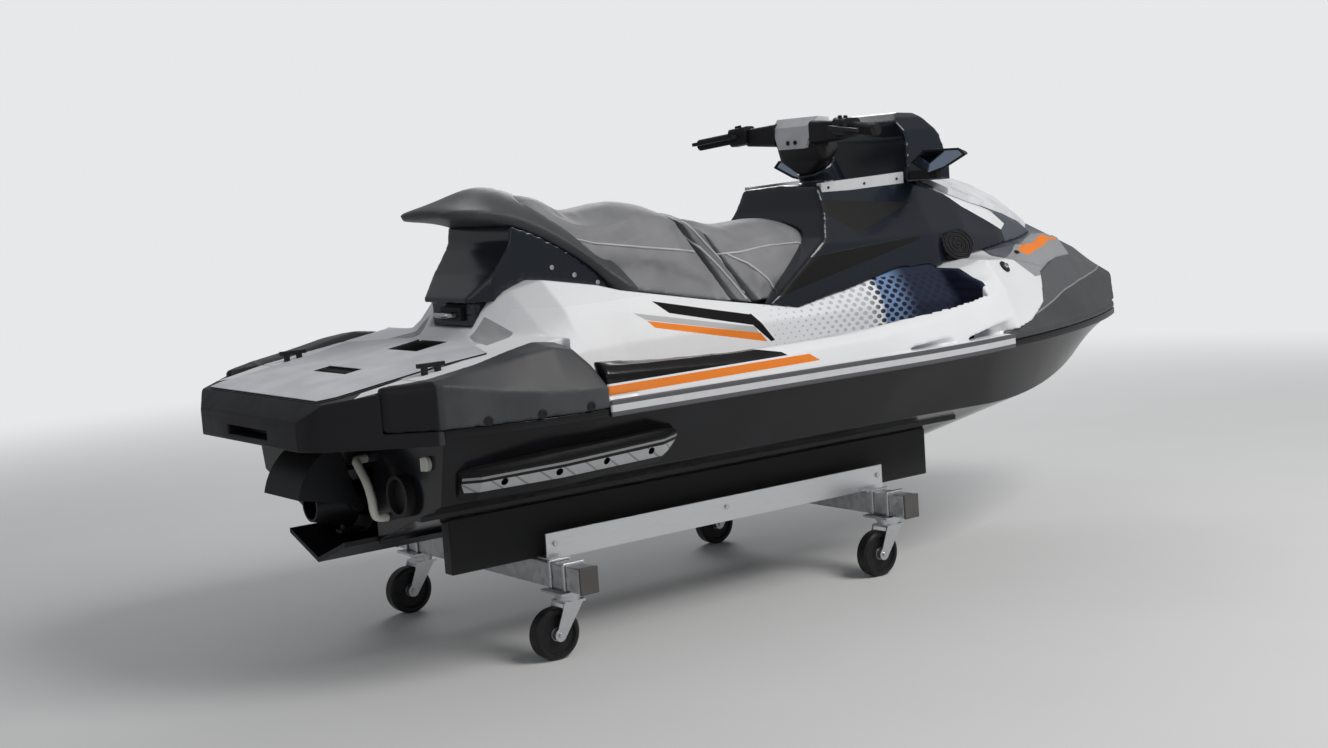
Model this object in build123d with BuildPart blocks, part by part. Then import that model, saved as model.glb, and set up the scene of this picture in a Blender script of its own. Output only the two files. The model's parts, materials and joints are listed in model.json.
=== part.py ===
"""Three-seat runabout watercraft, parked on a wheeled shop dolly.

Frame: +X towards the bow, +Y to port, +Z up, millimetres. The origin lies on the floor,
under the middle of the craft's length.
"""

import math
import os

from build123d import *

# Craft, overall sizes
LENGTH = 3145.0
BEAM = 1180.0
RAIL_T = 9.0
HALF_BEAM = BEAM / 2 - RAIL_T
PROUD = 6.0
TIP_X = LENGTH / 2
STERN_X = -LENGTH / 2

# Heights above the floor
KEEL_Z = 270.0
CHINE_Y = HALF_BEAM - 93.0
DEADRISE = 0.369
FLANGE_Z = 600.0
BOND_Z = 620.0
FLANGE_TOP_Z = 640.0
FLOOR_Z = 560.0

# Lengthwise stations
TRANSOM_X = -1330.0
RUN_END_X = TIP_X - 1152.0
FENDER_END_X = TRANSOM_X + 400.0
RAIL_END_X = TIP_X - 1072.0
FLANGE_END_X = TIP_X - 172.0
WELL_REAR_X = -940.0
WELL_FRONT_X = 460.0

# Plan outline of the hull flange
NOSE_R = 75.0
QUARTER_X = -950.0
CORNER_X, CORNER_Y = TRANSOM_X, 514.0
BUMPER_SIDE_X, BUMPER_SIDE_Y = -1540.0, 335.0
BUMPER_REAR_Y = 270.0
NOSE_X = TIP_X - NOSE_R
BOW_R = (NOSE_X**2 + HALF_BEAM**2 - NOSE_R**2) / (2 * (HALF_BEAM - NOSE_R))
TANGENT_X = NOSE_X * BOW_R / (BOW_R - NOSE_R)
TANGENT_Y = (BOW_R - HALF_BEAM) * (BOW_R / (BOW_R - NOSE_R) - 1)
QUARTER_R = ((CORNER_X - QUARTER_X) ** 2 + (HALF_BEAM - CORNER_Y) ** 2) / (
    2 * (HALF_BEAM - CORNER_Y)
)

# Walls and fits
STEP = 4.0
SKIN = 10.0
SIDE_WALL = 50.0
GAP = 0.3
MOVING_GAP = 6.0

# Stern deck plane: height at the rear edge of the mat, and its rise towards the bow
DECK_REAR_X, DECK_REAR_Z = -1535.0, 693.0
DECK_RISE = 0.155

# Dolly
WHEEL_R = 63.5
WHEEL_W = 40.0
TRAIL = 48.0
BEAM_X = (-943.0, 136.0)
BEAM_HALF = 456.0
TUBE_W, TUBE_H, TUBE_T = 50.8, 63.5, 3.2
TUBE_TOP_Z = 230.0
CASTER_Y = 365.0
RAIL_Y, RAIL_H, RAIL_W, RAIL_WALL = 308.0, 66.0, 46.0, 5.0
RAIL_X0, RAIL_X1 = -959.0, 177.0
BUNK_T = 38.0
BUNK_Y1 = RAIL_Y - RAIL_W
BUNK_Y0 = BUNK_Y1 - BUNK_T
BUNK_X0, BUNK_X1 = -1200.0, 400.0


def half_width(x):
    """Half width of the hull flange at a station."""
    if x >= 0:
        return HALF_BEAM - BOW_R + math.sqrt(BOW_R**2 - min(x, TANGENT_X) ** 2)
    if x >= QUARTER_X:
        return HALF_BEAM
    if x >= CORNER_X:
        return HALF_BEAM - QUARTER_R + math.sqrt(QUARTER_R**2 - (x - QUARTER_X) ** 2)
    share = (x - CORNER_X) / (BUMPER_SIDE_X - CORNER_X)
    return CORNER_Y + share * (BUMPER_SIDE_Y - CORNER_Y)


def deck_z(x):
    """Height of the stern deck at a station."""
    return DECK_REAR_Z + DECK_RISE * (x - DECK_REAR_X)


def bottom_z(y):
    """Height of the straight run of the hull's bottom."""
    return KEEL_Z + DEADRISE * abs(y)


def crossways(x):
    """Plane across the craft, with the sketch's x to port and its y up."""
    return Plane(origin=(x, 0, 0), x_dir=(0, 1, 0), z_dir=(1, 0, 0))


SIDEWAYS = Plane(origin=(0, 0, 0), x_dir=(1, 0, 0), z_dir=(0, -1, 0))


def mirrored_face(x, half):
    """Face of a section given by its starboard-to-port half, from the bottom up."""
    with BuildSketch(crossways(x)) as face:
        with BuildLine():
            Polyline(*half, *[(-y, z) for y, z in reversed(half) if y > 0], close=True)
        make_face()
    return face.sketch


def crowned_face(x, base_z, base_y, top_y, side_z, top_z):
    """Seat-like section: flat base, leaning sides and an arched top."""
    with BuildSketch(crossways(x)) as face:
        with BuildLine():
            Polyline((-top_y, side_z), (-base_y, base_z), (base_y, base_z), (top_y, side_z))
            ThreePointArc((top_y, side_z), (0, top_z), (-top_y, side_z))
        make_face()
    return face.sketch


def both_sides(points):
    """Closed outline from the points of its port half, in order from the centreline."""
    return list(points) + [(x, -y) for x, y in reversed(points) if y > 0]


def side_face(points):
    """Face in the side view, points as (x, z)."""
    with BuildSketch(SIDEWAYS) as face:
        with BuildLine():
            Polyline(*points, close=True)
        make_face()
    return face.sketch


def plan_face(points, z):
    """Face in the plan view, points as (x, y)."""
    with BuildSketch(Plane.XY.offset(z)) as face:
        with BuildLine():
            Polyline(*points, close=True)
        make_face()
    return face.sketch


def on_arc(centre, radius, x, inset):
    """Point of a flange arc at a station, drawn in by inset towards the arc's centre."""
    y = centre[1] + math.sqrt(radius**2 - (x - centre[0]) ** 2)
    share = inset / radius
    return x - (x - centre[0]) * share, y - (y - centre[1]) * share


def flange_face(z, inset, x0, x1):
    """Plan of the hull flange between two stations, drawn in by inset."""
    bow = ((0, HALF_BEAM - BOW_R), BOW_R)
    quarter = ((QUARTER_X, HALF_BEAM - QUARTER_R), QUARTER_R)
    corner = on_arc(*quarter, CORNER_X, inset)
    quarter_mid = on_arc(*quarter, (CORNER_X + QUARTER_X) / 2, inset)
    bow_mid = on_arc(*bow, NOSE_X / 2, inset)
    tangent = on_arc(*bow, TANGENT_X, inset)
    with BuildSketch(Plane.XY.offset(z)) as face:
        with BuildLine():
            for side in (1, -1):
                Polyline(
                    (STERN_X + inset, 0),
                    (STERN_X + inset, side * (BUMPER_REAR_Y - inset)),
                    (BUMPER_SIDE_X, side * (BUMPER_SIDE_Y - inset)),
                    (corner[0], side * corner[1]),
                )
                ThreePointArc(
                    (corner[0], side * corner[1]),
                    (quarter_mid[0], side * quarter_mid[1]),
                    (QUARTER_X, side * (HALF_BEAM - inset)),
                )
                Line((QUARTER_X, side * (HALF_BEAM - inset)), (0, side * (HALF_BEAM - inset)))
                ThreePointArc(
                    (0, side * (HALF_BEAM - inset)),
                    (bow_mid[0], side * bow_mid[1]),
                    (tangent[0], side * tangent[1]),
                )
            ThreePointArc(tangent, (TIP_X - inset, 0), (tangent[0], -tangent[1]))
        make_face()
        with Locations(((x0 + x1) / 2, 0)):
            Rectangle(x1 - x0, BEAM * 2, mode=Mode.INTERSECT)
    return face.sketch


def save(piece, name):
    """Label a finished piece and write it."""
    piece.part.label = name
    export_step(piece.part, f"parts/{name}.step")


os.makedirs("parts", exist_ok=True)

# Hull: a straight V run with spray rails, and a bow that rises out of it
END_CHINE_Y = HALF_BEAM - 111.0
# Columns: station, keel height, chine half width, chine height
BOW_STATIONS = (
    (RUN_END_X, KEEL_Z, END_CHINE_Y, KEEL_Z + DEADRISE * END_CHINE_Y),
    (TIP_X - 872.0, 296.0, 415.0, 452.0),
    (TIP_X - 622.0, 362.0, 322.0, 487.0),
    (TIP_X - 372.0, 462.0, 190.0, 540.0),
    (FLANGE_END_X, 574.0, 60.0, 592.0),
)
FLARE = 8.0
STRAKE_Y = (130.0, 340.0)
STRAKE_W = 30.0
PUMP_HALF = 150.0
PUMP_TOP_Z = 500.0
PUMP_X = TRANSOM_X + 320.0
INTAKE_X = TRANSOM_X + 710.0
TUNNEL_LOW_Z = KEEL_Z - 20.0
PUMP_AXIS_Z = 412.0
SHAFT_R, SHAFT_ROOM_R = 10.0, 17.0
SHAFT_END_X, SHAFT_ROOM_X = TRANSOM_X + 480.0, TRANSOM_X + 495.0
ENGINE_X0, ENGINE_X1 = -600.0, -60.0
ENGINE_HALF, ENGINE_Z0, ENGINE_Z1 = 190.0, 385.0, 735.0


def hull_half(x, keel_z, chine_y, chine_z):
    """Half section of the hull, from the keel to the flange."""
    return [(0, keel_z), (chine_y, chine_z), (half_width(x) - FLARE, FLANGE_Z), (0, FLANGE_Z)]


def engine_block(gap):
    """The engine's block, grown by gap on its sides and top."""
    with BuildPart() as form:
        with Locations(((ENGINE_X0 + ENGINE_X1) / 2, 0, ENGINE_Z0)):
            Box(
                ENGINE_X1 - ENGINE_X0 + 2 * gap,
                2 * (ENGINE_HALF + gap),
                ENGINE_Z1 - ENGINE_Z0 + gap,
                align=(Align.CENTER, Align.CENTER, Align.MIN),
            )
    return form.part


def pump_round(x0, x1, r0, r1):
    """Round body along the pump's axis, r0 at station x0 and r1 at x1."""
    with BuildPart() as form:
        with BuildSketch(Plane(origin=(x0, 0, PUMP_AXIS_Z), x_dir=(0, 1, 0), z_dir=(1, 0, 0))):
            Circle(r0)
        if r0 == r1:
            extrude(amount=x1 - x0)
        else:
            with BuildSketch(Plane(origin=(x1, 0, PUMP_AXIS_Z), x_dir=(0, 1, 0), z_dir=(1, 0, 0))):
                Circle(r1)
            loft()
    return form.part


with BuildPart() as hull:
    RUN_ROWS = (
        (TRANSOM_X, END_CHINE_Y),
        (QUARTER_X, CHINE_Y),
        (0.0, CHINE_Y),
        (RUN_END_X, END_CHINE_Y),
    )
    loft(
        [mirrored_face(x, hull_half(x, KEEL_Z, y, bottom_z(y))) for x, y in RUN_ROWS],
        ruled=True,
    )
    loft([mirrored_face(row[0], hull_half(*row)) for row in BOW_STATIONS])
    extrude(flange_face(FLANGE_Z, 0, TRANSOM_X, BOW_STATIONS[-1][0]), amount=BOND_Z - FLANGE_Z)
    for y in STRAKE_Y:
        for side in (1, -1):
            with BuildSketch(crossways(TRANSOM_X)):
                with BuildLine():
                    Polyline(
                        (side * y, bottom_z(y)),
                        (side * (y + STRAKE_W), bottom_z(y)),
                        (side * (y + STRAKE_W), bottom_z(y + STRAKE_W)),
                        close=True,
                    )
                make_face()
            extrude(amount=RUN_END_X - TRANSOM_X)
    # Footwell pockets
    extrude(
        flange_face(FLOOR_Z - SKIN, SIDE_WALL, WELL_REAR_X - SKIN, WELL_FRONT_X + SKIN),
        amount=BOND_Z - FLOOR_Z + SKIN,
        mode=Mode.SUBTRACT,
    )
    # Pump tunnel, and the ramp up from the intake mouth
    extrude(
        side_face(
            [
                (TRANSOM_X, TUNNEL_LOW_Z),
                (INTAKE_X, TUNNEL_LOW_Z),
                (PUMP_X, PUMP_TOP_Z),
                (TRANSOM_X, PUMP_TOP_Z),
            ]
        ),
        amount=PUMP_HALF,
        both=True,
        mode=Mode.SUBTRACT,
    )
    add(pump_round(PUMP_X, SHAFT_ROOM_X, SHAFT_ROOM_R, SHAFT_ROOM_R), mode=Mode.SUBTRACT)
    add(engine_block(GAP), mode=Mode.SUBTRACT)
save(hull, "hull")

# Deck moulding: gunwales and bow
# Columns: station, shoulder (inset from the flange, height), crest (inset, height), centre height
FORM_STATIONS = (
    (WELL_REAR_X - SKIN, (3.0, 700.0), (25.0, 728.0), 728.0),
    (-500.0, (7.0, 680.0), (29.0, 704.0), 704.0),
    (-60.0, (11.0, 690.0), (36.0, 714.0), 714.0),
    (240.0, (40.0, 715.0), (90.0, 762.0), 762.0),
    (TIP_X - 1028.0, (52.0, 760.0), (122.0, 845.0), 858.0),
    (TIP_X - 736.0, (95.0, 781.0), (168.0, 868.0), 895.0),
    (TIP_X - 545.0, (99.0, 790.0), (170.0, 880.0), 918.0),
    (TIP_X - 412.0, (96.0, 792.0), (167.0, 864.0), 918.0),
    (TIP_X - 272.0, (74.0, 762.0), (140.0, 826.0), 850.0),
    (TIP_X - 122.0, (43.0, 724.0), (87.0, 764.0), 774.0),
)
TIP_FACE = (TIP_X, 690.0, 14.0, 722.0)

# Columns: station, crest (half width, height), flank (half width, height), waist half width,
# floor half width
WAIST_Z = 740.0
PEDESTAL_STATIONS = (
    (-1035.0, (105.0, 769.0), (200.0, 767.0), 392.0, 400.0),
    (-1005.0, (112.0, 803.0), (190.0, 771.0), 410.0, 430.0),
    (-978.0, (122.0, 840.0), (215.0, 780.0), 425.0, 450.0),
    (-955.0, (140.0, 866.0), (250.0, 790.0), 430.0, 460.0),
    (-925.0, (175.0, 888.0), (290.0, 806.0), 430.0, 460.0),
    (-865.0, (232.0, 911.0), (330.0, 836.0), 405.0, 440.0),
    (-720.0, (266.0, 885.0), (325.0, 822.0), 362.0, 392.0),
    (-650.0, (262.0, 866.0), (310.0, 808.0), 350.0, 372.0),
    (-380.0, (252.0, 817.0), (284.0, 780.0), 308.0, 330.0),
    (-150.0, (256.0, 779.0), (280.0, 760.0), 296.0, 312.0),
    (-60.0, (262.0, 764.0), (279.0, 752.0), 292.0, 308.0),
    (120.0, (270.0, 795.0), (288.0, 770.0), 300.0, 310.0),
    (320.0, (268.0, 840.0), (304.0, 795.0), 330.0, 345.0),
    (WELL_FRONT_X, (262.0, 850.0), (320.0, 795.0), 370.0, 400.0),
)

# Pocket in the stern deck, ahead of the mat
POCKET_X0, POCKET_X1, POCKET_HALF, POCKET_DEPTH, POCKET_R = -1140.0, -1052.0, 72.0, 30.0, 36.0

# Foot of the tail pedestal, let into the deck moulding
TAIL_X, TAIL_HALF, TAIL_LOW_Z, TAIL_SHELF_Z = -988.0, 110.0, 801.0, 864.0
SEAT_X0, SEAT_X1 = -1020.0, -900.0

# Rear fender, outboard of the deck
# Columns: station, crease height, ridge (inset, height), top edge (inset, height), base inset
FENDER_STATIONS = (
    (TRANSOM_X - 104.0, 716.0, (6.0, 722.0), (16.0, 723.0), 26.0),
    (TRANSOM_X, 720.0, (14.0, 731.0), (62.0, 732.0), 80.0),
    (TRANSOM_X + 134.0, 693.0, (38.0, 752.0), (108.0, 751.0), 122.0),
    (TRANSOM_X + 220.0, 680.0, (44.0, 768.0), (126.0, 771.0), 142.0),
    (TRANSOM_X + 288.0, 673.0, (48.0, 775.0), (136.0, 784.0), 150.0),
    (TRANSOM_X + 345.0, 671.0, (54.0, 764.0), (138.0, 778.0), 150.0),
    (TRANSOM_X + 382.0, 670.0, (26.0, 716.0), (136.0, 764.0), 150.0),
    (FENDER_END_X, 668.0, (4.0, 674.0), (56.0, 700.0), 60.0),
)
ROOM_TOP_Z = 1000.0
ROOM_PROUD = 30.0

# Storage bin under the front hatch
BIN_X0, BIN_X1, BIN_HALF, BIN_FLOOR_Z = 740.0, 1000.0, 95.0, 690.0


def form_half(x, shoulder, crest, centre_z):
    """Half section of the gunwale and bow form above the bond line."""
    edge = half_width(x)
    return [
        (0, FLANGE_TOP_Z),
        (edge - STEP, FLANGE_TOP_Z),
        (edge - shoulder[0], shoulder[1]),
        (edge - crest[0], crest[1]),
        (0, centre_z),
    ]


def pedestal_half(x, crest, flank, waist_y, floor_y):
    """Half section of the pedestal that carries the seat."""
    low = FLOOR_Z - SKIN
    return [(0, low), (floor_y, low), (waist_y, WAIST_Z), flank, crest, (0, crest[1])]


def fender_form(side):
    """One rear fender, its outer band, crease and ridge."""
    faces = []
    for x, crease_z, ridge, top, base_in in FENDER_STATIONS:
        edge = half_width(x)
        outline = [
            (edge + PROUD, BOND_Z),
            (edge + PROUD, crease_z),
            (edge - ridge[0], ridge[1]),
            (edge - top[0], top[1]),
            (edge - base_in, top[1] - SKIN),
            (edge - base_in, BOND_Z),
        ]
        with BuildSketch(crossways(x)) as face:
            with BuildLine():
                Polyline(*[(side * y, z) for y, z in outline], close=True)
            make_face()
        faces.append(face.sketch)
    with BuildPart() as form:
        loft(faces, ruled=True)
    return form.part


def fender_room(side):
    """Space outboard of a fender's inner wall, kept clear of the deck and bumper."""
    faces = []
    for x, *_, base_in in FENDER_STATIONS:
        edge = half_width(x)
        with BuildSketch(crossways(x)) as face:
            with BuildLine():
                Polyline(
                    (side * (edge - base_in), BOND_Z),
                    (side * (edge + ROOM_PROUD), BOND_Z),
                    (side * (edge + ROOM_PROUD), ROOM_TOP_Z),
                    (side * (edge - base_in), ROOM_TOP_Z),
                    close=True,
                )
            make_face()
        faces.append(face.sketch)
    with BuildPart() as form:
        loft(faces, ruled=True)
    return form.part


def bow_form():
    """Gunwales and bow, closed at the tip, cut flat at the bond line."""
    tip_x, tip_z, tip_y, tip_top = TIP_FACE
    faces = [mirrored_face(row[0], form_half(*row)) for row in FORM_STATIONS]
    mid = (tip_z + tip_top) / 2
    faces.append(
        mirrored_face(
            tip_x,
            [(0, tip_z), (tip_y, tip_z), (tip_y, mid), (tip_y - 4, tip_top - 2), (0, tip_top)],
        )
    )
    with BuildPart() as form:
        loft(faces, ruled=True)
        extrude(
            flange_face(BOND_Z, 0, WELL_REAR_X - SKIN, FLANGE_END_X),
            amount=FLANGE_TOP_Z - BOND_Z,
        )
    return form.part


def stern_block(x0, x1):
    """Stern platform between two stations, under the sloping deck plane."""
    with BuildPart() as form:
        extrude(flange_face(BOND_Z, 0, x0, x1), amount=LENGTH)
        extrude(
            side_face([(x0, BOND_Z), (x1, BOND_Z), (x1, deck_z(x1)), (x0, deck_z(x0))]),
            amount=BEAM,
            both=True,
            mode=Mode.INTERSECT,
        )
    return form.part


def bin_room():
    """Space of the storage bin, open upwards."""
    with BuildPart() as form:
        with Locations(((BIN_X0 + BIN_X1) / 2, 0, BIN_FLOOR_Z)):
            Box(
                BIN_X1 - BIN_X0,
                2 * BIN_HALF,
                LENGTH,
                align=(Align.CENTER, Align.CENTER, Align.MIN),
            )
    return form.part


fenders = {"left": fender_form(1), "right": fender_form(-1)}
fender_rooms = [fender_room(1), fender_room(-1)]
platform = stern_block(TRANSOM_X, WELL_REAR_X)
bow = bow_form()

# Split of the bow, in the side view: the bumper lies below and ahead of this line
BUMPER_LINE = (
    (RAIL_END_X, BOND_Z),
    (RAIL_END_X, 642.0),
    (TIP_X - 932.0, 660.0),
    (TIP_X - 812.0, 700.0),
    (TIP_X - 750.0, 756.0),
    (TIP_X - 726.0, 782.0),
    (TIP_X - 392.0, 851.0),
    (TIP_X - 357.0, 960.0),
    (TIP_X + 10.0, 960.0),
    (TIP_X + 10.0, BOND_Z),
)

with BuildPart() as bow_bumper:
    add(bow)
    extrude(side_face(BUMPER_LINE), amount=BEAM, both=True, mode=Mode.INTERSECT)
    add(bin_room(), mode=Mode.SUBTRACT)
save(bow_bumper, "bow_bumper")

with BuildPart() as deck:
    add(bow)
    add(platform)
    add(bow_bumper.part, mode=Mode.SUBTRACT)
    # Footwell tray, then the wells themselves, then the pedestal between them
    extrude(
        flange_face(FLOOR_Z - SKIN, SIDE_WALL, WELL_REAR_X - SKIN, WELL_FRONT_X + SKIN),
        amount=BOND_Z - FLOOR_Z + SKIN,
    )
    extrude(
        flange_face(FLOOR_Z, SIDE_WALL + SKIN, WELL_REAR_X, WELL_FRONT_X),
        amount=LENGTH,
        mode=Mode.SUBTRACT,
    )
    loft([mirrored_face(row[0], pedestal_half(*row)) for row in PEDESTAL_STATIONS], ruled=True)
    add(hull.part, mode=Mode.SUBTRACT)
    for form in fender_rooms:
        add(form, mode=Mode.SUBTRACT)
    add(bin_room(), mode=Mode.SUBTRACT)
    add(engine_block(GAP), mode=Mode.SUBTRACT)
    # Seat of the tail pedestal, then the pocket ahead of the mat
    with Locations((SEAT_X0, 0, TAIL_LOW_Z)):
        Box(
            SEAT_X1 - SEAT_X0,
            2 * TAIL_HALF,
            LENGTH,
            align=(Align.MIN, Align.CENTER, Align.MIN),
            mode=Mode.SUBTRACT,
        )
    with BuildSketch(Plane.XY.offset(deck_z(POCKET_X0) - POCKET_DEPTH)):
        with Locations(((POCKET_X0 + POCKET_X1) / 2, 0)):
            RectangleRounded(POCKET_X1 - POCKET_X0, 2 * POCKET_HALF, POCKET_R)
    extrude(amount=2 * POCKET_DEPTH, mode=Mode.SUBTRACT)
save(deck, "deck")

# Stern bumper: the rear of the platform, with a grab slot in its rear face
BUMPER_LOW_Z = 585.0
BUMPER_CHAMFER = 40.0
SLOT_HALF, SLOT_Z, SLOT_H, SLOT_DEPTH = 110.0, 612.0, 22.0, 45.0
with BuildPart() as stern_bumper:
    extrude(flange_face(BUMPER_LOW_Z, 0, STERN_X - 1, TRANSOM_X), amount=LENGTH)
    extrude(
        side_face(
            [
                (STERN_X, BUMPER_LOW_Z),
                (TRANSOM_X, BUMPER_LOW_Z),
                (TRANSOM_X, deck_z(TRANSOM_X)),
                (DECK_REAR_X, DECK_REAR_Z),
                (STERN_X, DECK_REAR_Z - BUMPER_CHAMFER),
            ]
        ),
        amount=BEAM,
        both=True,
        mode=Mode.INTERSECT,
    )
    for form in fender_rooms:
        add(form, mode=Mode.SUBTRACT)
    with Locations((STERN_X, 0, SLOT_Z)):
        Box(2 * SLOT_DEPTH, 2 * SLOT_HALF, SLOT_H, mode=Mode.SUBTRACT)
save(stern_bumper, "stern_bumper")

for side_name, form in fenders.items():
    with BuildPart() as rear_fender:
        add(form)
    save(rear_fender, f"rear_fender_{side_name}")

# Rub rail, both sides, along the bond line
with BuildPart() as rub_rails:
    extrude(
        flange_face(FLANGE_Z, -RAIL_T, FENDER_END_X + GAP, RAIL_END_X),
        amount=FLANGE_TOP_Z - FLANGE_Z,
    )
    extrude(
        flange_face(FLANGE_Z, 0, FENDER_END_X, RAIL_END_X),
        amount=FLANGE_TOP_Z - FLANGE_Z,
        mode=Mode.SUBTRACT,
    )
save(rub_rails, "rub_rails")

# Seat: one line of foam, cut by two leaning planes into rider, band and passenger
# Columns: station, base height, base half width, top half width, side height, crown height
SEAT_STATIONS = (
    (-860.0, 897.5, 130.0, 110.0, 1085.0, 1106.0),
    (-700.0, 873.5, 185.0, 150.0, 1046.0, 1072.0),
    (-560.0, 850.4, 208.0, 158.0, 1040.0, 1072.0),
    (-447.0, 829.4, 218.0, 162.0, 1044.0, 1076.0),
    (-340.0, 809.0, 222.0, 165.0, 1012.0, 1046.0),
    (-177.0, 783.0, 225.0, 160.0, 962.0, 995.0),
    (-13.0, 783.0, 205.0, 150.0, 968.0, 1001.0),
    (110.0, 783.0, 165.0, 130.0, 950.0, 982.0),
    (205.0, 783.0, 120.0, 95.0, 905.0, 930.0),
)
BAND_TOP = (-392.0, -332.0)
BAND_FOOT = (-228.0, -168.0)
BAND_TOP_Z, BAND_FOOT_Z = 1062.0, 785.0


def band_line(index, z):
    """Station of one edge of the leaning band at a height."""
    share = (z - BAND_FOOT_Z) / (BAND_TOP_Z - BAND_FOOT_Z)
    return BAND_FOOT[index] + share * (BAND_TOP[index] - BAND_FOOT[index])


LOW_Z, HIGH_Z = 700.0, 1200.0
SEAT_CUTS = {
    "rear_seat": [
        (-1000.0, LOW_Z),
        (band_line(0, LOW_Z), LOW_Z),
        (band_line(0, HIGH_Z), HIGH_Z),
        (-1000.0, HIGH_Z),
    ],
    "seat_band": [
        (band_line(0, LOW_Z), LOW_Z),
        (band_line(1, LOW_Z), LOW_Z),
        (band_line(1, HIGH_Z), HIGH_Z),
        (band_line(0, HIGH_Z), HIGH_Z),
    ],
    "front_seat": [
        (band_line(1, LOW_Z), LOW_Z),
        (400.0, LOW_Z),
        (400.0, HIGH_Z),
        (band_line(1, HIGH_Z), HIGH_Z),
    ],
}
with BuildPart() as seat_form:
    loft([crowned_face(*row) for row in SEAT_STATIONS])
    add(deck.part, mode=Mode.SUBTRACT)
for name, outline in SEAT_CUTS.items():
    with BuildPart() as seat:
        add(seat_form.part)
        extrude(side_face(outline), amount=BEAM, both=True, mode=Mode.INTERSECT)
    save(seat, name)

# Console: the glossy cowl ahead of the rider, its nose carried forward under the hatch
CONSOLE_SIDE = (
    (-160.0, 740.0),
    (-160.0, 778.0),
    (70.0, 945.0),
    (108.0, 1020.0),
    (125.0, 1150.0),
    (1200.0, 1150.0),
    (1200.0, 740.0),
)
CONSOLE_TOP_Z = 1096.0
CONSOLE_LOW_Z, CONSOLE_FOOT_Z = 740.0, 760.0
# Columns: station, foot half width, waist (half width, height), shoulder (half width, height),
# crown height
CONSOLE_STATIONS = (
    (-160.0, 262.0, (243.0, 930.0), (170.0, 1088.0), CONSOLE_TOP_Z),
    (120.0, 276.0, (246.0, 930.0), (160.0, 1088.0), CONSOLE_TOP_Z),
    (480.0, 296.0, (256.0, 930.0), (160.0, 1086.0), CONSOLE_TOP_Z),
    (640.0, 290.0, (240.0, 920.0), (176.0, 1030.0), 1092.0),
    (800.0, 262.0, (214.0, 895.0), (180.0, 975.0), 1068.0),
    (910.0, 226.0, (190.0, 878.0), (164.0, 942.0), 1036.0),
    (1026.0, 172.0, (150.0, 868.0), (132.0, 903.0), 988.0),
    (1118.0, 120.0, (100.0, 858.0), (82.0, 878.0), 914.0),
)
RAKE = 30.0
STEER_X, STEER_Z = 215.0, 1240.0
STEER_AXIS = (-math.sin(math.radians(RAKE)), 0, math.cos(math.radians(RAKE)))
STEER_FOOT_X = STEER_X + (STEER_Z - CONSOLE_TOP_Z) * math.tan(math.radians(RAKE))
STEER_FOOT = Plane(origin=(STEER_FOOT_X, 0, CONSOLE_TOP_Z), x_dir=(0, 1, 0), z_dir=STEER_AXIS)
BOSS_R, BOSS_H = 62.0, 60.0


def console_form(lift):
    """The cowl's outer form, raised by lift."""
    with BuildPart() as form:
        loft(
            [
                mirrored_face(
                    x, [(0, CONSOLE_LOW_Z), (foot, CONSOLE_FOOT_Z), waist, shoulder, (0, top)]
                )
                for x, foot, waist, shoulder, top in CONSOLE_STATIONS
            ],
            ruled=True,
        )
    return form.part.moved(Location((0, 0, lift)))


with BuildPart() as console:
    add(console_form(0))
    extrude(side_face(CONSOLE_SIDE), amount=BEAM, both=True, mode=Mode.INTERSECT)
    with BuildSketch(STEER_FOOT.offset(-BOSS_H)):
        Circle(BOSS_R)
    extrude(amount=2 * BOSS_H)
    for piece in (deck, bow_bumper, seat_form):
        add(piece.part, mode=Mode.SUBTRACT)
    add(bin_room(), mode=Mode.SUBTRACT)
save(console, "console")

# Front hatch: a lid over the bin, following the cowl, hinged at its front edge
HATCH_T = 20.0
HATCH_SEAT = 1.0
HATCH_PLAN = (
    (662.0, 0.0),
    (662.0, 150.0),
    (720.0, 168.0),
    (900.0, 140.0),
    (1085.0, 74.0),
    (1085.0, 0.0),
)
with BuildPart() as front_hatch:
    add(console_form(HATCH_SEAT + HATCH_T))
    add(console_form(HATCH_SEAT), mode=Mode.SUBTRACT)
    extrude(plan_face(both_sides(HATCH_PLAN), LOW_Z), amount=HIGH_Z - LOW_Z, mode=Mode.INTERSECT)
save(front_hatch, "front_hatch")

# Instrument hood and the display in its rear face
HOOD_LOW_Z, HOOD_TOP_Z = 1080.0, 1288.0
HOOD_SIDE = (
    (470.0, HOOD_LOW_Z),
    (486.0, 1212.0),
    (464.0, 1258.0),
    (505.0, HOOD_TOP_Z),
    (572.0, 1284.0),
    (628.0, 1218.0),
    (652.0, 1130.0),
    (652.0, HOOD_LOW_Z),
)
# Half outline across the craft, as (half width, height)
HOOD_ACROSS = (
    (172.0, HOOD_LOW_Z),
    (172.0, 1130.0),
    (158.0, 1232.0),
    (134.0, 1270.0),
    (104.0, HOOD_TOP_Z),
)
DISPLAY_SIDE = ((476.0, 1106.0), (489.0, 1206.0), (501.0, 1204.0), (488.0, 1104.0))
DISPLAY_HALF, DISPLAY_EDGE = 106.0, 1.0
with BuildPart() as instrument_hood:
    extrude(side_face(HOOD_SIDE), amount=BEAM, both=True)
    extrude(
        mirrored_face(HOOD_SIDE[2][0], list(HOOD_ACROSS)),
        amount=HOOD_SIDE[-1][0] - HOOD_SIDE[2][0],
        mode=Mode.INTERSECT,
    )
    extrude(side_face(DISPLAY_SIDE), amount=DISPLAY_HALF, both=True, mode=Mode.SUBTRACT)
    for piece in (console, front_hatch):
        add(piece.part, mode=Mode.SUBTRACT)
save(instrument_hood, "instrument_hood")

with BuildPart() as display:
    extrude(side_face(DISPLAY_SIDE), amount=DISPLAY_HALF - DISPLAY_EDGE, both=True)
    add(instrument_hood.part, mode=Mode.SUBTRACT)
save(display, "display")

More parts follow.
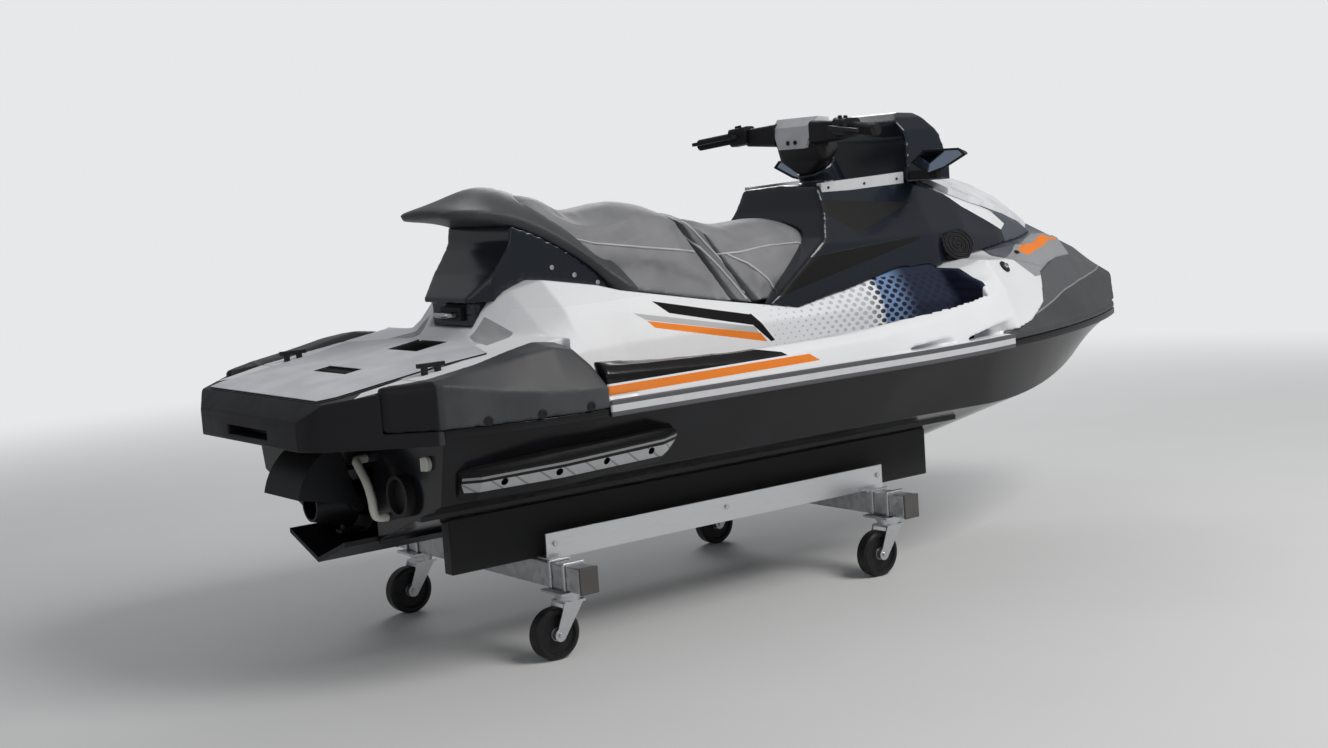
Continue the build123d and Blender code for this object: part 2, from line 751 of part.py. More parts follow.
# Steering: column, bar, pad, grips and control pods
BAR_R, GRIP_R, GRIP_L, GRIP_PAST = 11.0, 17.0, 125.0, 4.0
BAR_POINTS = ((150.0, 385.0, 1233.0), (196.0, 190.0, 1252.0), (214.0, 84.0, 1248.0))
BAR_BEND = 50.0
BAR_PATH = list(BAR_POINTS) + [(x, -y, z) for x, y, z in reversed(BAR_POINTS)]
# Sections of the neck above its round foot, as (distance along the axis, half width, half depth)
NECK_ROWS = ((98.0, 104.0, 42.0), (146.0, 94.0, 38.0))
NECK_FOOT_R, NECK_FLAT, NECK_CORNER = 56.0, 2.0, 26.0
HEAD_HALF = 80.0
HEAD_SIDE = (
    (190.0, 1205.0),
    (196.0, 1258.0),
    (212.0, 1278.0),
    (248.0, 1274.0),
    (252.0, 1212.0),
)


def neck_face(distance, half_w, half_d):
    """Rounded section of the steering neck at a distance along its axis."""
    with BuildSketch(STEER_FOOT.offset(distance)) as face:
        RectangleRounded(2 * half_w, 2 * half_d, NECK_CORNER)
    return face.sketch


with BuildPart() as handlebar:
    with BuildLine() as bar_line:
        FilletPolyline(*BAR_PATH, radius=BAR_BEND)
    with BuildSketch(Plane(origin=bar_line.line @ 0, z_dir=bar_line.line % 0)):
        Circle(BAR_R)
    sweep()
save(handlebar, "handlebar")

with BuildPart() as steering_column:
    with BuildSketch(STEER_FOOT.offset(BOSS_H + GAP)) as neck_foot:
        RectangleRounded(2 * NECK_FOOT_R, 2 * NECK_FOOT_R, NECK_FOOT_R - NECK_FLAT)
    loft([neck_foot.sketch] + [neck_face(*row) for row in NECK_ROWS], ruled=True)
    extrude(side_face(HEAD_SIDE), amount=HEAD_HALF, both=True)
    add(handlebar.part, mode=Mode.SUBTRACT)
save(steering_column, "steering_column")


def along_bar(side, distance):
    """Plane across the bar's straight end, at a distance in from its tip."""
    tip, knee = (Vector(x, side * y, z) for x, y, z in BAR_POINTS[:2])
    run = (knee - tip).normalized()
    return Plane(origin=tip + run * distance, x_dir=(0, 0, 1), z_dir=run)


with BuildPart() as grips:
    for side in (1, -1):
        with BuildSketch(along_bar(side, -GRIP_PAST)):
            Circle(GRIP_R)
        extrude(amount=GRIP_L)
    add(handlebar.part, mode=Mode.SUBTRACT)
save(grips, "grips")

# Control pods, their levers, and the casings that cover the bar between pods and head
POD_START, POD_L, POD_W, POD_H, POD_CORNER = 129.0, 62.0, 56.0, 54.0, 14.0
LEVER_REACH, LEVER_W, LEVER_T, LEVER_START, LEVER_L = 52.0, 12.0, 10.0, 10.0, 155.0
ARM_START, ARM_L, ARM_W, ARM_OUT = 139.0, 22.0, 44.0, 36.0
CASING_X, CASING_Z, CASING_L, CASING_LEAN = 214.0, 1242.0, 122.0, 0.1
CASING_W, CASING_H, CASING_TAPER = 66.0, 68.0, 4.0
with BuildPart() as control_pods:
    for side in (1, -1):
        with BuildSketch(along_bar(side, POD_START)):
            RectangleRounded(POD_H, POD_W, POD_CORNER)
        extrude(amount=POD_L)
        with BuildSketch(along_bar(side, LEVER_START)):
            with Locations((0, side * LEVER_REACH)):
                Rectangle(LEVER_T, LEVER_W)
        extrude(amount=LEVER_L)
        with BuildSketch(along_bar(side, ARM_START)):
            with Locations((0, side * ARM_OUT)):
                Rectangle(LEVER_W, ARM_W)
        extrude(amount=ARM_L)
        at_head = Plane(
            origin=(CASING_X, side * HEAD_HALF, CASING_Z),
            x_dir=(1, 0, 0),
            z_dir=(-CASING_LEAN, side, 0),
        )
        with BuildSketch(at_head):
            RectangleRounded(CASING_W, CASING_H, POD_CORNER)
        extrude(amount=CASING_L, taper=CASING_TAPER)
    for piece in (handlebar, steering_column):
        add(piece.part, mode=Mode.SUBTRACT)
save(control_pods, "control_pods")

# Pad: a bent plate over the head, narrowing towards the rider
PAD_T = 9.0
PAD_SIDE = (
    (180.0, 1198.0),
    (187.0, 1262.0),
    (208.0, 1288.0),
    (252.0, 1284.0),
    (250.0, 1270.0),
    (214.0, 1270.0),
    (200.0, 1250.0),
    (194.0, 1200.0),
)
# Half outline seen from the rider's seat, as (half width, height)
PAD_ACROSS = ((58.0, 1198.0), (HEAD_HALF + PAD_T, 1258.0), (HEAD_HALF + PAD_T, 1290.0))
with BuildPart() as bar_pad:
    extrude(side_face(PAD_SIDE), amount=BEAM, both=True)
    extrude(
        mirrored_face(PAD_SIDE[0][0] - PAD_T, list(PAD_ACROSS)),
        amount=PAD_SIDE[3][0] - PAD_SIDE[0][0] + 2 * PAD_T,
        mode=Mode.INTERSECT,
    )
    for piece in (handlebar, steering_column, control_pods):
        add(piece.part, mode=Mode.SUBTRACT)
save(bar_pad, "bar_pad")

# Trim strips along the cowl's top edges
TRIM_SIDE = ((134.0, 1066.0), (134.0, 1096.0), (459.0, 1111.0), (459.0, 1078.0))
TRIM_IN, TRIM_OUT = 150.0, 170.0
with BuildPart() as console_trims:
    for side in (1, -1):
        with BuildSketch(SIDEWAYS.offset(-side * TRIM_OUT)):
            with BuildLine():
                Polyline(*TRIM_SIDE, close=True)
            make_face()
        extrude(amount=side * (TRIM_OUT - TRIM_IN))
    for piece in (console, instrument_hood):
        add(piece.part, mode=Mode.SUBTRACT)
save(console_trims, "console_trims")

# Mirrors: housing on a stalk, glass in its rear face; outline as (y, z)
MIRROR_X, MIRROR_DEPTH, MIRROR_RIM, GLASS_T = 462.0, 36.0, 7.0, 4.0
MIRROR_TAPER = 18.0
MIRROR_OUTLINE = (
    (197.0, 1136.0),
    (253.0, 1172.0),
    (391.0, 1170.0),
    (418.0, 1148.0),
    (330.0, 1112.0),
    (266.0, 1098.0),
)
STALK_Z, STALK_H = 1086.0, 26.0
STALK_PLAN = ((474.0, 290.0), (494.0, 290.0), (540.0, 140.0), (474.0, 140.0))


def mirror_face(side, x, inset):
    """Outline of a mirror on a plane across the craft, drawn in by inset."""
    with BuildSketch(crossways(x)) as face:
        with BuildLine():
            Polyline(*[(side * y, z) for y, z in MIRROR_OUTLINE], close=True)
        make_face()
        if inset:
            offset(amount=-inset, kind=Kind.INTERSECTION)
    return face.sketch


for side_name, side in (("left", 1), ("right", -1)):
    with BuildPart() as mirror_housing:
        extrude(mirror_face(side, MIRROR_X, 0), amount=MIRROR_DEPTH, taper=MIRROR_TAPER)
        extrude(plan_face([(x, side * y) for x, y in STALK_PLAN], STALK_Z), amount=STALK_H)
        extrude(mirror_face(side, MIRROR_X, MIRROR_RIM), amount=2 * GLASS_T, mode=Mode.SUBTRACT)
        for piece in (console, instrument_hood, console_trims):
            add(piece.part, mode=Mode.SUBTRACT)
    save(mirror_housing, f"mirror_housing_{side_name}")
with BuildPart() as mirror_glasses:
    for side in (1, -1):
        extrude(mirror_face(side, MIRROR_X + GLASS_T, MIRROR_RIM), amount=GLASS_T)
save(mirror_glasses, "mirror_glasses")

# Round pods low on the cowl's flanks
POD_AT = (560.0, 262.0, 880.0)
POD_R, POD_PROUD, POD_TAPER = 54.0, 30.0, 12.0
POD_BACK, POD_UP = 0.35, 0.45
with BuildPart() as flank_pods:
    for side in (1, -1):
        at = Plane(
            origin=(POD_AT[0], side * POD_AT[1], POD_AT[2]),
            x_dir=(1, 0, 0),
            z_dir=(-POD_BACK, side, POD_UP),
        )
        with BuildSketch(at):
            Circle(POD_R)
        extrude(amount=POD_PROUD, taper=POD_TAPER)
    for piece in (console, deck):
        add(piece.part, mode=Mode.SUBTRACT)
save(flank_pods, "flank_pods")

# Stern deck mat, cut away round its recess and the pocket
MAT_T = 6.0
MAT_X0, MAT_X1 = DECK_REAR_X + 4.0, -1050.0
MAT_RECESS = (-1349.0, -1303.0, 90.0)
MAT_NOTCH_X, MAT_NOTCH_HALF = POCKET_X0 - 6.0, POCKET_HALF + 6.0
MAT_PLAN = (
    (MAT_X0, 0.0),
    (MAT_X0, 300.0),
    (-1490.0, 322.0),
    (-1220.0, 330.0),
    (-1115.0, 360.0),
    (MAT_X1, 175.0),
    (MAT_X1, MAT_NOTCH_HALF),
    (MAT_NOTCH_X, MAT_NOTCH_HALF),
    (MAT_NOTCH_X, 0.0),
)
MAT_SIDE = (
    (DECK_REAR_X, deck_z(DECK_REAR_X)),
    (MAT_X1, deck_z(MAT_X1)),
    (MAT_X1, deck_z(MAT_X1) + MAT_T),
    (DECK_REAR_X, deck_z(DECK_REAR_X) + MAT_T),
)
with BuildPart() as deck_mat:
    extrude(side_face(MAT_SIDE), amount=BEAM, both=True)
    extrude(plan_face(both_sides(MAT_PLAN), BOND_Z), amount=LENGTH, mode=Mode.INTERSECT)
    recess_x0, recess_x1, recess_half = MAT_RECESS
    with Locations((recess_x0, 0, BOND_Z)):
        Box(
            recess_x1 - recess_x0,
            2 * recess_half,
            LENGTH,
            align=(Align.MIN, Align.CENTER, Align.MIN),
            mode=Mode.SUBTRACT,
        )
save(deck_mat, "deck_mat")

# Footwell mats
WELL_MAT_T, WELL_MAT_EDGE, WELL_MAT_END = 5.0, 8.0, 20.0
WELL_MAT_INNER, WELL_MAT_TOP = 14.0, 40.0


def mat_room_half(floor_y):
    """Half section of the space that the mats leave round the pedestal."""
    reach = floor_y + WELL_MAT_INNER
    low, high = FLOOR_Z - SKIN, FLOOR_Z + WELL_MAT_TOP
    return [(0, low), (reach, low), (reach, high), (0, high)]


with BuildPart() as footwell_mats:
    extrude(
        flange_face(
            FLOOR_Z,
            SIDE_WALL + SKIN + WELL_MAT_EDGE,
            WELL_REAR_X + WELL_MAT_END,
            WELL_FRONT_X - WELL_MAT_END,
        ),
        amount=WELL_MAT_T,
    )
    loft(
        [mirrored_face(row[0], mat_room_half(row[-1])) for row in PEDESTAL_STATIONS],
        ruled=True,
        mode=Mode.SUBTRACT,
    )
save(footwell_mats, "footwell_mats")

# Grab handle cover behind the passenger, its hand opening left below it
# Columns: station, base height, base half width, rim half width, rim height, crown height
COVER_STATIONS = (
    (-1062.0, 1083.0, 90.0, 102.0, 1090.0, 1096.0),
    (-1040.0, 1074.0, 130.0, 144.0, 1092.0, 1106.0),
    (-1005.0, 1070.0, 154.0, 169.0, 1091.0, 1117.0),
    (-957.0, 1064.0, 158.0, 172.0, 1084.0, 1134.0),
    (-897.0, 1050.0, 160.0, 175.0, 1069.0, 1149.0),
    (-823.0, 1018.0, 168.0, 183.0, 1037.0, 1134.0),
    (-765.0, 984.0, 180.0, 195.0, 1002.0, 1104.0),
    (-707.0, 944.0, 194.0, 209.0, 960.0, 1058.0),
    (-640.0, 880.0, 216.0, 230.0, 902.0, 1003.0),
    (-575.0, 842.0, 230.0, 243.0, 862.0, 940.0),
)
with BuildPart() as grab_cover:
    loft([crowned_face(*row) for row in COVER_STATIONS])
    add(seat_form.part, mode=Mode.SUBTRACT)
    add(deck.part, mode=Mode.SUBTRACT)
save(grab_cover, "grab_cover")

# Tail pedestal: a block let into the deck, and the shelf and neck above it
TAIL_SIDE = (
    (TAIL_X - 24.0, TAIL_SHELF_Z),
    (TAIL_X - 24.0, 876.0),
    (-957.0, 930.0),
    (-912.0, 991.0),
    (-902.0, 1012.0),
    (-897.0, 1055.0),
    (-823.0, 1023.0),
    (-765.0, 990.0),
    (-707.0, 950.0),
    (-640.0, 886.0),
    (-600.0, 800.0),
    (SEAT_X1, TAIL_SHELF_Z),
)
TAIL_PLAN = (
    (TAIL_X - 24.0, 0.0),
    (TAIL_X - 24.0, 105.0),
    (-957.0, 148.0),
    (-880.0, 158.0),
    (-690.0, 190.0),
    (-600.0, 205.0),
    (-600.0, 0.0),
)
with BuildPart() as tail_pedestal:
    extrude(side_face(TAIL_SIDE), amount=BEAM, both=True)
    extrude(plan_face(both_sides(TAIL_PLAN), LOW_Z), amount=HIGH_Z - LOW_Z, mode=Mode.INTERSECT)
    with Locations((TAIL_X, 0, TAIL_LOW_Z)):
        Box(
            SEAT_X1 - TAIL_X,
            2 * TAIL_HALF,
            TAIL_SHELF_Z - TAIL_LOW_Z,
            align=(Align.MIN, Align.CENTER, Align.MIN),
        )
    for piece in (seat_form, deck, grab_cover):
        add(piece.part, mode=Mode.SUBTRACT)
save(tail_pedestal, "tail_pedestal")

# Tow hook on the pedestal's rear face: a base and a bent bar that leaves a loop
TOW_Z, TOW_BAR_R, TOW_REACH, TOW_HALF, TOW_BEND = 834.0, 7.0, 42.0, 30.0, 16.0
TOW_BASE_T, TOW_BASE_W, TOW_BASE_H = 10.0, 100.0, 34.0
with BuildPart() as tow_hook:
    with BuildLine(Plane.XY.offset(TOW_Z)):
        FilletPolyline(
            (TAIL_X, -TOW_HALF),
            (TAIL_X - TOW_REACH, -TOW_HALF),
            (TAIL_X - TOW_REACH, TOW_HALF),
            (TAIL_X, TOW_HALF),
            radius=TOW_BEND,
        )
    with BuildSketch(Plane(origin=(TAIL_X, -TOW_HALF, TOW_Z), z_dir=(-1, 0, 0))):
        Circle(TOW_BAR_R)
    sweep()
    with Locations((TAIL_X - TOW_BASE_T, 0, TOW_Z)):
        Box(
            TOW_BASE_T,
            TOW_BASE_W,
            TOW_BASE_H,
            align=(Align.MIN, Align.CENTER, Align.CENTER),
        )
save(tow_hook, "tow_hook")

# Nose panels, inlaid on the bow's shoulders
PANEL_T = 4.0
PANEL_PLAN = ((690.0, 352.0), (1027.0, 188.0), (1175.0, 110.0), (1150.0, 190.0), (870.0, 318.0))
with BuildPart() as nose_panels:
    for side in (1, -1):
        extrude(plan_face([(x, side * y) for x, y in PANEL_PLAN], 700.0), amount=400.0)
    add(bow.moved(Location((0, 0, PANEL_T))), mode=Mode.INTERSECT)
    add(bow, mode=Mode.SUBTRACT)
save(nose_panels, "nose_panels")

# Sponsons: fins along the hull's sides, with a light face, a lip and four bolt holes each
# Columns: station, heights of the low edge, face foot, lip and top rib, drawing in of the ends
SPONSON_STATIONS = (
    (-1292.0, 452.0, 472.0, 502.0, 518.0, 22.0),
    (-1258.0, 449.0, 471.0, 505.0, 521.0, 0.0),
    (-1060.0, 453.0, 476.0, 514.0, 535.0, 0.0),
    (-780.0, 469.0, 485.0, 527.0, 546.0, 0.0),
    (-722.0, 488.0, 500.0, 532.0, 546.0, 26.0),
)
# Insets of the section's points from the hull flange
ROOT_IN, LOW_IN, FOOT_IN, LIP_IN, LIP_BACK, RIB_IN = 95.0, 36.0, 16.0, -1.0, 10.0, 20.0
RIB_ROOT_IN, LIP_T, RIB_RISE = 62.0, 5.0, 8.0
SPONSON_HOLES = ((-1202.0, 488.0), (-1070.0, 492.0), (-941.0, 498.0), (-813.0, 503.0))
HOLE_R, HOLE_DEPTH, HOLE_L = 8.0, 26.0, 60.0


def sponson_face(side, row):
    """Section of one sponson, from its root under the low edge up to the rib."""
    x, low, foot, lip, top, drawn = row
    edge = half_width(x) - drawn
    outline = [
        (half_width(x) - ROOT_IN, low - LIP_T),
        (edge - LOW_IN, low),
        (edge - FOOT_IN, foot),
        (edge - LIP_IN, lip),
        (edge - LIP_IN, lip + LIP_T),
        (edge - LIP_BACK, lip + 2 * LIP_T),
        (edge - RIB_IN, top),
        (half_width(x) - RIB_ROOT_IN, top + RIB_RISE),
    ]
    with BuildSketch(crossways(x)) as face:
        with BuildLine():
            Polyline(*[(side * y, z) for y, z in outline], close=True)
        make_face()
    return face.sketch


with BuildPart() as sponsons:
    for side in (1, -1):
        loft([sponson_face(side, row) for row in SPONSON_STATIONS], ruled=True)
        for x, z in SPONSON_HOLES:
            with Locations((x, side * (half_width(x) - HOLE_DEPTH + HOLE_L / 2), z)):
                Cylinder(HOLE_R, HOLE_L, rotation=(90, 0, 0), mode=Mode.SUBTRACT)
    for piece in (hull, deck):
        add(piece.part, mode=Mode.SUBTRACT)
save(sponsons, "sponsons")

# Mooring cleats: a bar on two feet, beside the mat at the stern
CLEAT_L, CLEAT_W, CLEAT_H, CLEAT_FOOT, CLEAT_SUNK = 70.0, 12.0, 10.0, 14.0, 6.0
CLEAT_AT = (-1270.0, 366.0)
with BuildPart() as cleats:
    for side in (1, -1):
        foot_z = deck_z(CLEAT_AT[0])
        with Locations((CLEAT_AT[0], side * CLEAT_AT[1], foot_z + CLEAT_FOOT)):
            Box(CLEAT_L, CLEAT_W, CLEAT_H, align=(Align.CENTER, Align.CENTER, Align.MIN))
        for step in (-1, 1):
            foot_x = CLEAT_AT[0] + step * CLEAT_L / 4
            with Locations((foot_x, side * CLEAT_AT[1], foot_z - CLEAT_SUNK)):
                Box(
                    CLEAT_W,
                    CLEAT_W,
                    CLEAT_FOOT + CLEAT_SUNK,
                    align=(Align.CENTER, Align.CENTER, Align.MIN),
                )
    add(deck.part, mode=Mode.SUBTRACT)
save(cleats, "cleats")

# Engine, one plain block in its bay
with BuildPart() as engine:
    add(engine_block(0))
save(engine, "engine")

# Ride plate and intake grate, closing the tunnel from below
PLATE_T = 12.0
RIDE_X0, RIDE_X1 = TRANSOM_X - 90.0, TRANSOM_X + 275.0
GRATE_X1 = INTAKE_X - 4.0
GRATE_T = 9.0
GRATE_SLOTS, GRATE_SLOT_W, GRATE_PITCH = 6, 22.0, 32.0
GRATE_SLOT_X0, GRATE_SLOT_X1 = TRANSOM_X + 310.0, TRANSOM_X + 590.0
V_HALF = PUMP_HALF - GAP


def v_half(thickness):
    """Half section of a V plate that carries on the hull's bottom."""
    return [
        (0, KEEL_Z),
        (V_HALF, bottom_z(V_HALF)),
        (V_HALF, bottom_z(V_HALF) + thickness),
        (0, KEEL_Z + thickness),
    ]


with BuildPart() as ride_plate:
    extrude(mirrored_face(RIDE_X0, v_half(PLATE_T)), amount=RIDE_X1 - RIDE_X0)
save(ride_plate, "ride_plate")

with BuildPart() as intake_grate:
    extrude(mirrored_face(RIDE_X1 + GAP, v_half(GRATE_T)), amount=GRATE_X1 - RIDE_X1 - GAP)
    for index in range(GRATE_SLOTS):
        slot_y = (index - (GRATE_SLOTS - 1) / 2) * GRATE_PITCH
        with Locations(((GRATE_SLOT_X0 + GRATE_SLOT_X1) / 2, slot_y, KEEL_Z)):
            Box(GRATE_SLOT_X1 - GRATE_SLOT_X0, GRATE_SLOT_W, 4 * GRATE_PITCH, mode=Mode.SUBTRACT)
    add(hull.part, mode=Mode.SUBTRACT)
save(intake_grate, "intake_grate")

# Pump: bulkhead, housing with its bore and stator, neck, ears and lugs for what turns on it
HOUSING_R, HOUSING_BORE_R, COLLAR_R = 80.0, 66.0, 86.0
NECK_R, NECK_BORE_R = 44.0, 38.0
HOUSING_X1, STATOR_X1 = TRANSOM_X + 212.0, TRANSOM_X + 75.0
COLLAR_X0, COLLAR_X1 = TRANSOM_X + 30.0, TRANSOM_X + 44.0
NECK_X0 = TRANSOM_X - 20.0
BULKHEAD_T = 12.0
STATOR_HUB_R, STATOR_VANES, VANE_T = 22.0, 5, 5.0
PIVOT_X = TRANSOM_X - 15.0
PIVOT_R = 8.0
LUG_PIN_L = 20.0
EAR_IN, EAR_OUT, EAR_HALF = 72.0, 80.0, 15.0
EAR_REACH = 15.0
TAIL_PIN_R, TAIL_PIN_L = 6.0, 18.0


def pump_plane(x):
    """Plane across the pump's axis, its sketch centred on the axis."""
    return Plane(origin=(x, 0, PUMP_AXIS_Z), x_dir=(0, 1, 0), z_dir=(1, 0, 0))


with BuildPart() as pump_housing:
    low = PLATE_T + GAP
    with BuildSketch(crossways(HOUSING_X1 - BULKHEAD_T)):
        with BuildLine():
            Polyline(
                (0, KEEL_Z + low),
                (V_HALF, bottom_z(V_HALF) + low),
                (V_HALF, PUMP_TOP_Z),
                (-V_HALF, PUMP_TOP_Z),
                (-V_HALF, bottom_z(V_HALF) + low),
                close=True,
            )
        make_face()
    extrude(amount=BULKHEAD_T)
    add(pump_round(COLLAR_X1 - 1, HOUSING_X1, HOUSING_R, HOUSING_R))
    add(pump_round(COLLAR_X0, COLLAR_X1, COLLAR_R, COLLAR_R))
    add(pump_round(NECK_X0, COLLAR_X0, NECK_R, NECK_R))
    # Ears above and below the neck, lugs beside it
    for side in (1, -1):
        ear_x0 = PIVOT_X - EAR_REACH
        ear_mid = (ear_x0 + COLLAR_X0) / 2
        with Locations((ear_mid, 0, PUMP_AXIS_Z + side * (EAR_IN + EAR_OUT) / 2)):
            Box(COLLAR_X0 - ear_x0, 2 * EAR_HALF, EAR_OUT - EAR_IN)
        with Locations((ear_mid, side * (EAR_IN + EAR_OUT) / 2, PUMP_AXIS_Z)):
            Box(COLLAR_X0 - ear_x0, EAR_OUT - EAR_IN, 2 * EAR_HALF)
    add(pump_round(STATOR_X1, HOUSING_X1 + 1, HOUSING_BORE_R, HOUSING_BORE_R), mode=Mode.SUBTRACT)
    add(pump_round(COLLAR_X0, STATOR_X1, NECK_BORE_R, HOUSING_BORE_R), mode=Mode.SUBTRACT)
    add(pump_round(NECK_X0 - 1, COLLAR_X0, NECK_BORE_R, NECK_BORE_R), mode=Mode.SUBTRACT)
    # Stator: a hub carried by vanes, with the bearing of the impeller's tail pin
    with BuildSketch(pump_plane(COLLAR_X1)):
        Circle(STATOR_HUB_R)
        with PolarLocations(0, STATOR_VANES):
            with Locations((HOUSING_R / 2, 0)):
                Rectangle(HOUSING_R - 4, VANE_T)
    extrude(amount=STATOR_X1 - COLLAR_X1)
    tail_room = TAIL_PIN_R + GAP
    add(
        pump_round(STATOR_X1 - TAIL_PIN_L - 2, STATOR_X1 + 1, tail_room, tail_room),
        mode=Mode.SUBTRACT,
    )
    with Locations((PIVOT_X, 0, PUMP_AXIS_Z)):
        Cylinder(PIVOT_R + GAP, 2 * EAR_OUT + 2, mode=Mode.SUBTRACT)
    # Pins of the lugs, on which the reverse bucket turns
    for side in (1, -1):
        with Locations((PIVOT_X, side * (EAR_OUT + PIVOT_R), PUMP_AXIS_Z)):
            Cylinder(PIVOT_R, LUG_PIN_L, rotation=(90, 0, 0))
save(pump_housing, "pump_housing")

# Impeller on its shaft
HUB_R, HUB_X0, HUB_X1 = 24.0, STATOR_X1 + 3.0, TRANSOM_X + 150.0
BLADE_R, BLADE_T, BLADE_L = HOUSING_BORE_R - MOVING_GAP, 5.0, 62.0
BLADE_PITCH, BLADES = 35.0, 3
with BuildPart() as impeller:
    for index in range(BLADES):
        turn = Location((0, 0, PUMP_AXIS_Z), (360.0 * index / BLADES, 0, 0))
        blade_at = Location(((HUB_X0 + HUB_X1) / 2, 0, BLADE_R / 2), (0, 0, BLADE_PITCH))
        with Locations(turn * blade_at):
            Box(BLADE_L, BLADE_T, BLADE_R)
    add(pump_round(HUB_X0, HUB_X1, BLADE_R, BLADE_R), mode=Mode.INTERSECT)
    add(pump_round(HUB_X0, HUB_X1, HUB_R, HUB_R))
    add(pump_round(HUB_X1 - 1, SHAFT_END_X, SHAFT_R, SHAFT_R))
    add(pump_round(HUB_X0 - TAIL_PIN_L, HUB_X0 + 1, TAIL_PIN_R, TAIL_PIN_R))
save(impeller, "impeller")

# Steering nozzle, turning on pins in the pump's ears
NOZZLE_X0, NOZZLE_X1 = TRANSOM_X - 100.0, TRANSOM_X - 1.0
NOZZLE_R0, NOZZLE_R1, NOZZLE_WALL = 41.0, 66.0, 6.0
NOZZLE_PIN_L = 28.0
with BuildPart() as steering_nozzle:
    add(pump_round(NOZZLE_X0, NOZZLE_X1, NOZZLE_R0, NOZZLE_R1))
    for side in (1, -1):
        with Locations((PIVOT_X, 0, PUMP_AXIS_Z + side * (EAR_OUT - NOZZLE_PIN_L / 2))):
            Cylinder(PIVOT_R, NOZZLE_PIN_L)
    add(
        pump_round(NOZZLE_X0, NOZZLE_X1, NOZZLE_R0 - NOZZLE_WALL, NOZZLE_R1 - NOZZLE_WALL),
        mode=Mode.SUBTRACT,
    )
save(steering_nozzle, "steering_nozzle")

# Reverse bucket: a curved shell on two arms, raised at rest
BUCKET_R, BUCKET_WALL, BUCKET_HALF, BUCKET_ARM_T = 160.0, 8.0, 96.0, 8.0
BUCKET_LOW, BUCKET_HIGH = 12.0, 75.0
BUCKET_HUB_R = 18.0
BUCKET_PLANE = Plane(origin=(PIVOT_X, 0, PUMP_AXIS_Z), x_dir=(-1, 0, 0), z_dir=(0, 1, 0))


def bucket_face(inner_r):
    """Sector of the bucket between its two edges, outside inner_r."""
    low, high = (Vector(2 * BUCKET_R, 0).rotate(Axis.Z, turn) for turn in (BUCKET_LOW, BUCKET_HIGH))
    with BuildSketch() as face:
        with BuildLine():
            Polyline((0, 0), (low.X, low.Y), (high.X, high.Y), close=True)
        make_face()
        Circle(BUCKET_R, mode=Mode.INTERSECT)
        if inner_r:
            Circle(inner_r, mode=Mode.SUBTRACT)
        else:
            Circle(BUCKET_HUB_R)
            Circle(PIVOT_R + GAP, mode=Mode.SUBTRACT)
    return face.sketch


with BuildPart() as reverse_bucket:
    extrude(BUCKET_PLANE * bucket_face(BUCKET_R - BUCKET_WALL), amount=BUCKET_HALF, both=True)
    for side in (1, -1):
        arm_plane = BUCKET_PLANE.offset(side * BUCKET_HALF)
        extrude(arm_plane * bucket_face(0), amount=-side * BUCKET_ARM_T)
save(reverse_bucket, "reverse_bucket")

# Exhaust outlet on the transom
EXHAUST_AT, EXHAUST_R = (-302.0, 452.0), 50.0
EXHAUST_WALL, EXHAUST_BACK, EXHAUST_L = 9.0, 4.0, 22.0
with BuildPart() as exhaust_outlet:
    with BuildSketch(crossways(TRANSOM_X)):
        with Locations(EXHAUST_AT):
            Circle(EXHAUST_R)
    extrude(amount=-EXHAUST_L)
    with BuildSketch(crossways(TRANSOM_X - EXHAUST_BACK)):
        with Locations(EXHAUST_AT):
            Circle(EXHAUST_R - EXHAUST_WALL)
    extrude(amount=-EXHAUST_L, mode=Mode.SUBTRACT)
save(exhaust_outlet, "exhaust_outlet")

# Drain plugs, screwed into the transom high on each quarter
PLUG_AT, PLUG_R, PLUG_L = (425.0, 538.0), 17.0, 9.0
PLUG_GRIP_T, PLUG_GRIP_W = 7.0, 30.0
with BuildPart() as drain_plugs:
    for side in (1, -1):
        with BuildSketch(crossways(TRANSOM_X)):
            with Locations((side * PLUG_AT[0], PLUG_AT[1])):
                Circle(PLUG_R)
        extrude(amount=-PLUG_L)
        with BuildSketch(crossways(TRANSOM_X - PLUG_L)):
            with Locations((side * PLUG_AT[0], PLUG_AT[1])):
                Rectangle(PLUG_GRIP_T, PLUG_GRIP_W)
        extrude(amount=-PLUG_L)
save(drain_plugs, "drain_plugs")

# Bailer hose, from one fitting on the transom to another beside the pump
HOSE_R, HOSE_BEND = 7.0, 14.0
HOSE_OUT_X = TRANSOM_X - 34.0
HOSE_POINTS = (
    (TRANSOM_X, -124.0, 524.0),
    (HOSE_OUT_X, -128.0, 522.0),
    (HOSE_OUT_X, -186.0, 478.0),
    (HOSE_OUT_X, -208.0, 425.0),
    (HOSE_OUT_X, -208.0, 392.0),
    (TRANSOM_X, -208.0, 392.0),
)
with BuildPart() as bailer_hose:
    with BuildLine() as hose_line:
        FilletPolyline(*HOSE_POINTS, radius=HOSE_BEND)
    with BuildSketch(Plane(origin=hose_line.line @ 0, z_dir=hose_line.line % 0)):
        Circle(HOSE_R)
    sweep()
    add(hull.part, mode=Mode.SUBTRACT)
save(bailer_hose, "bailer_hose")

# Dolly: two crossbeams with end caps, carrying two bunks and two angle rails
TUBE_BOTTOM_Z = TUBE_TOP_Z - TUBE_H
CAP_T, CAP_PROUD = 8.0, 1.5
with BuildPart() as crossbeams:
    with Locations(*[(x, 0, TUBE_TOP_Z) for x in BEAM_X]):
        Box(TUBE_W, 2 * BEAM_HALF, TUBE_H, align=(Align.CENTER, Align.CENTER, Align.MAX))
save(crossbeams, "crossbeams")

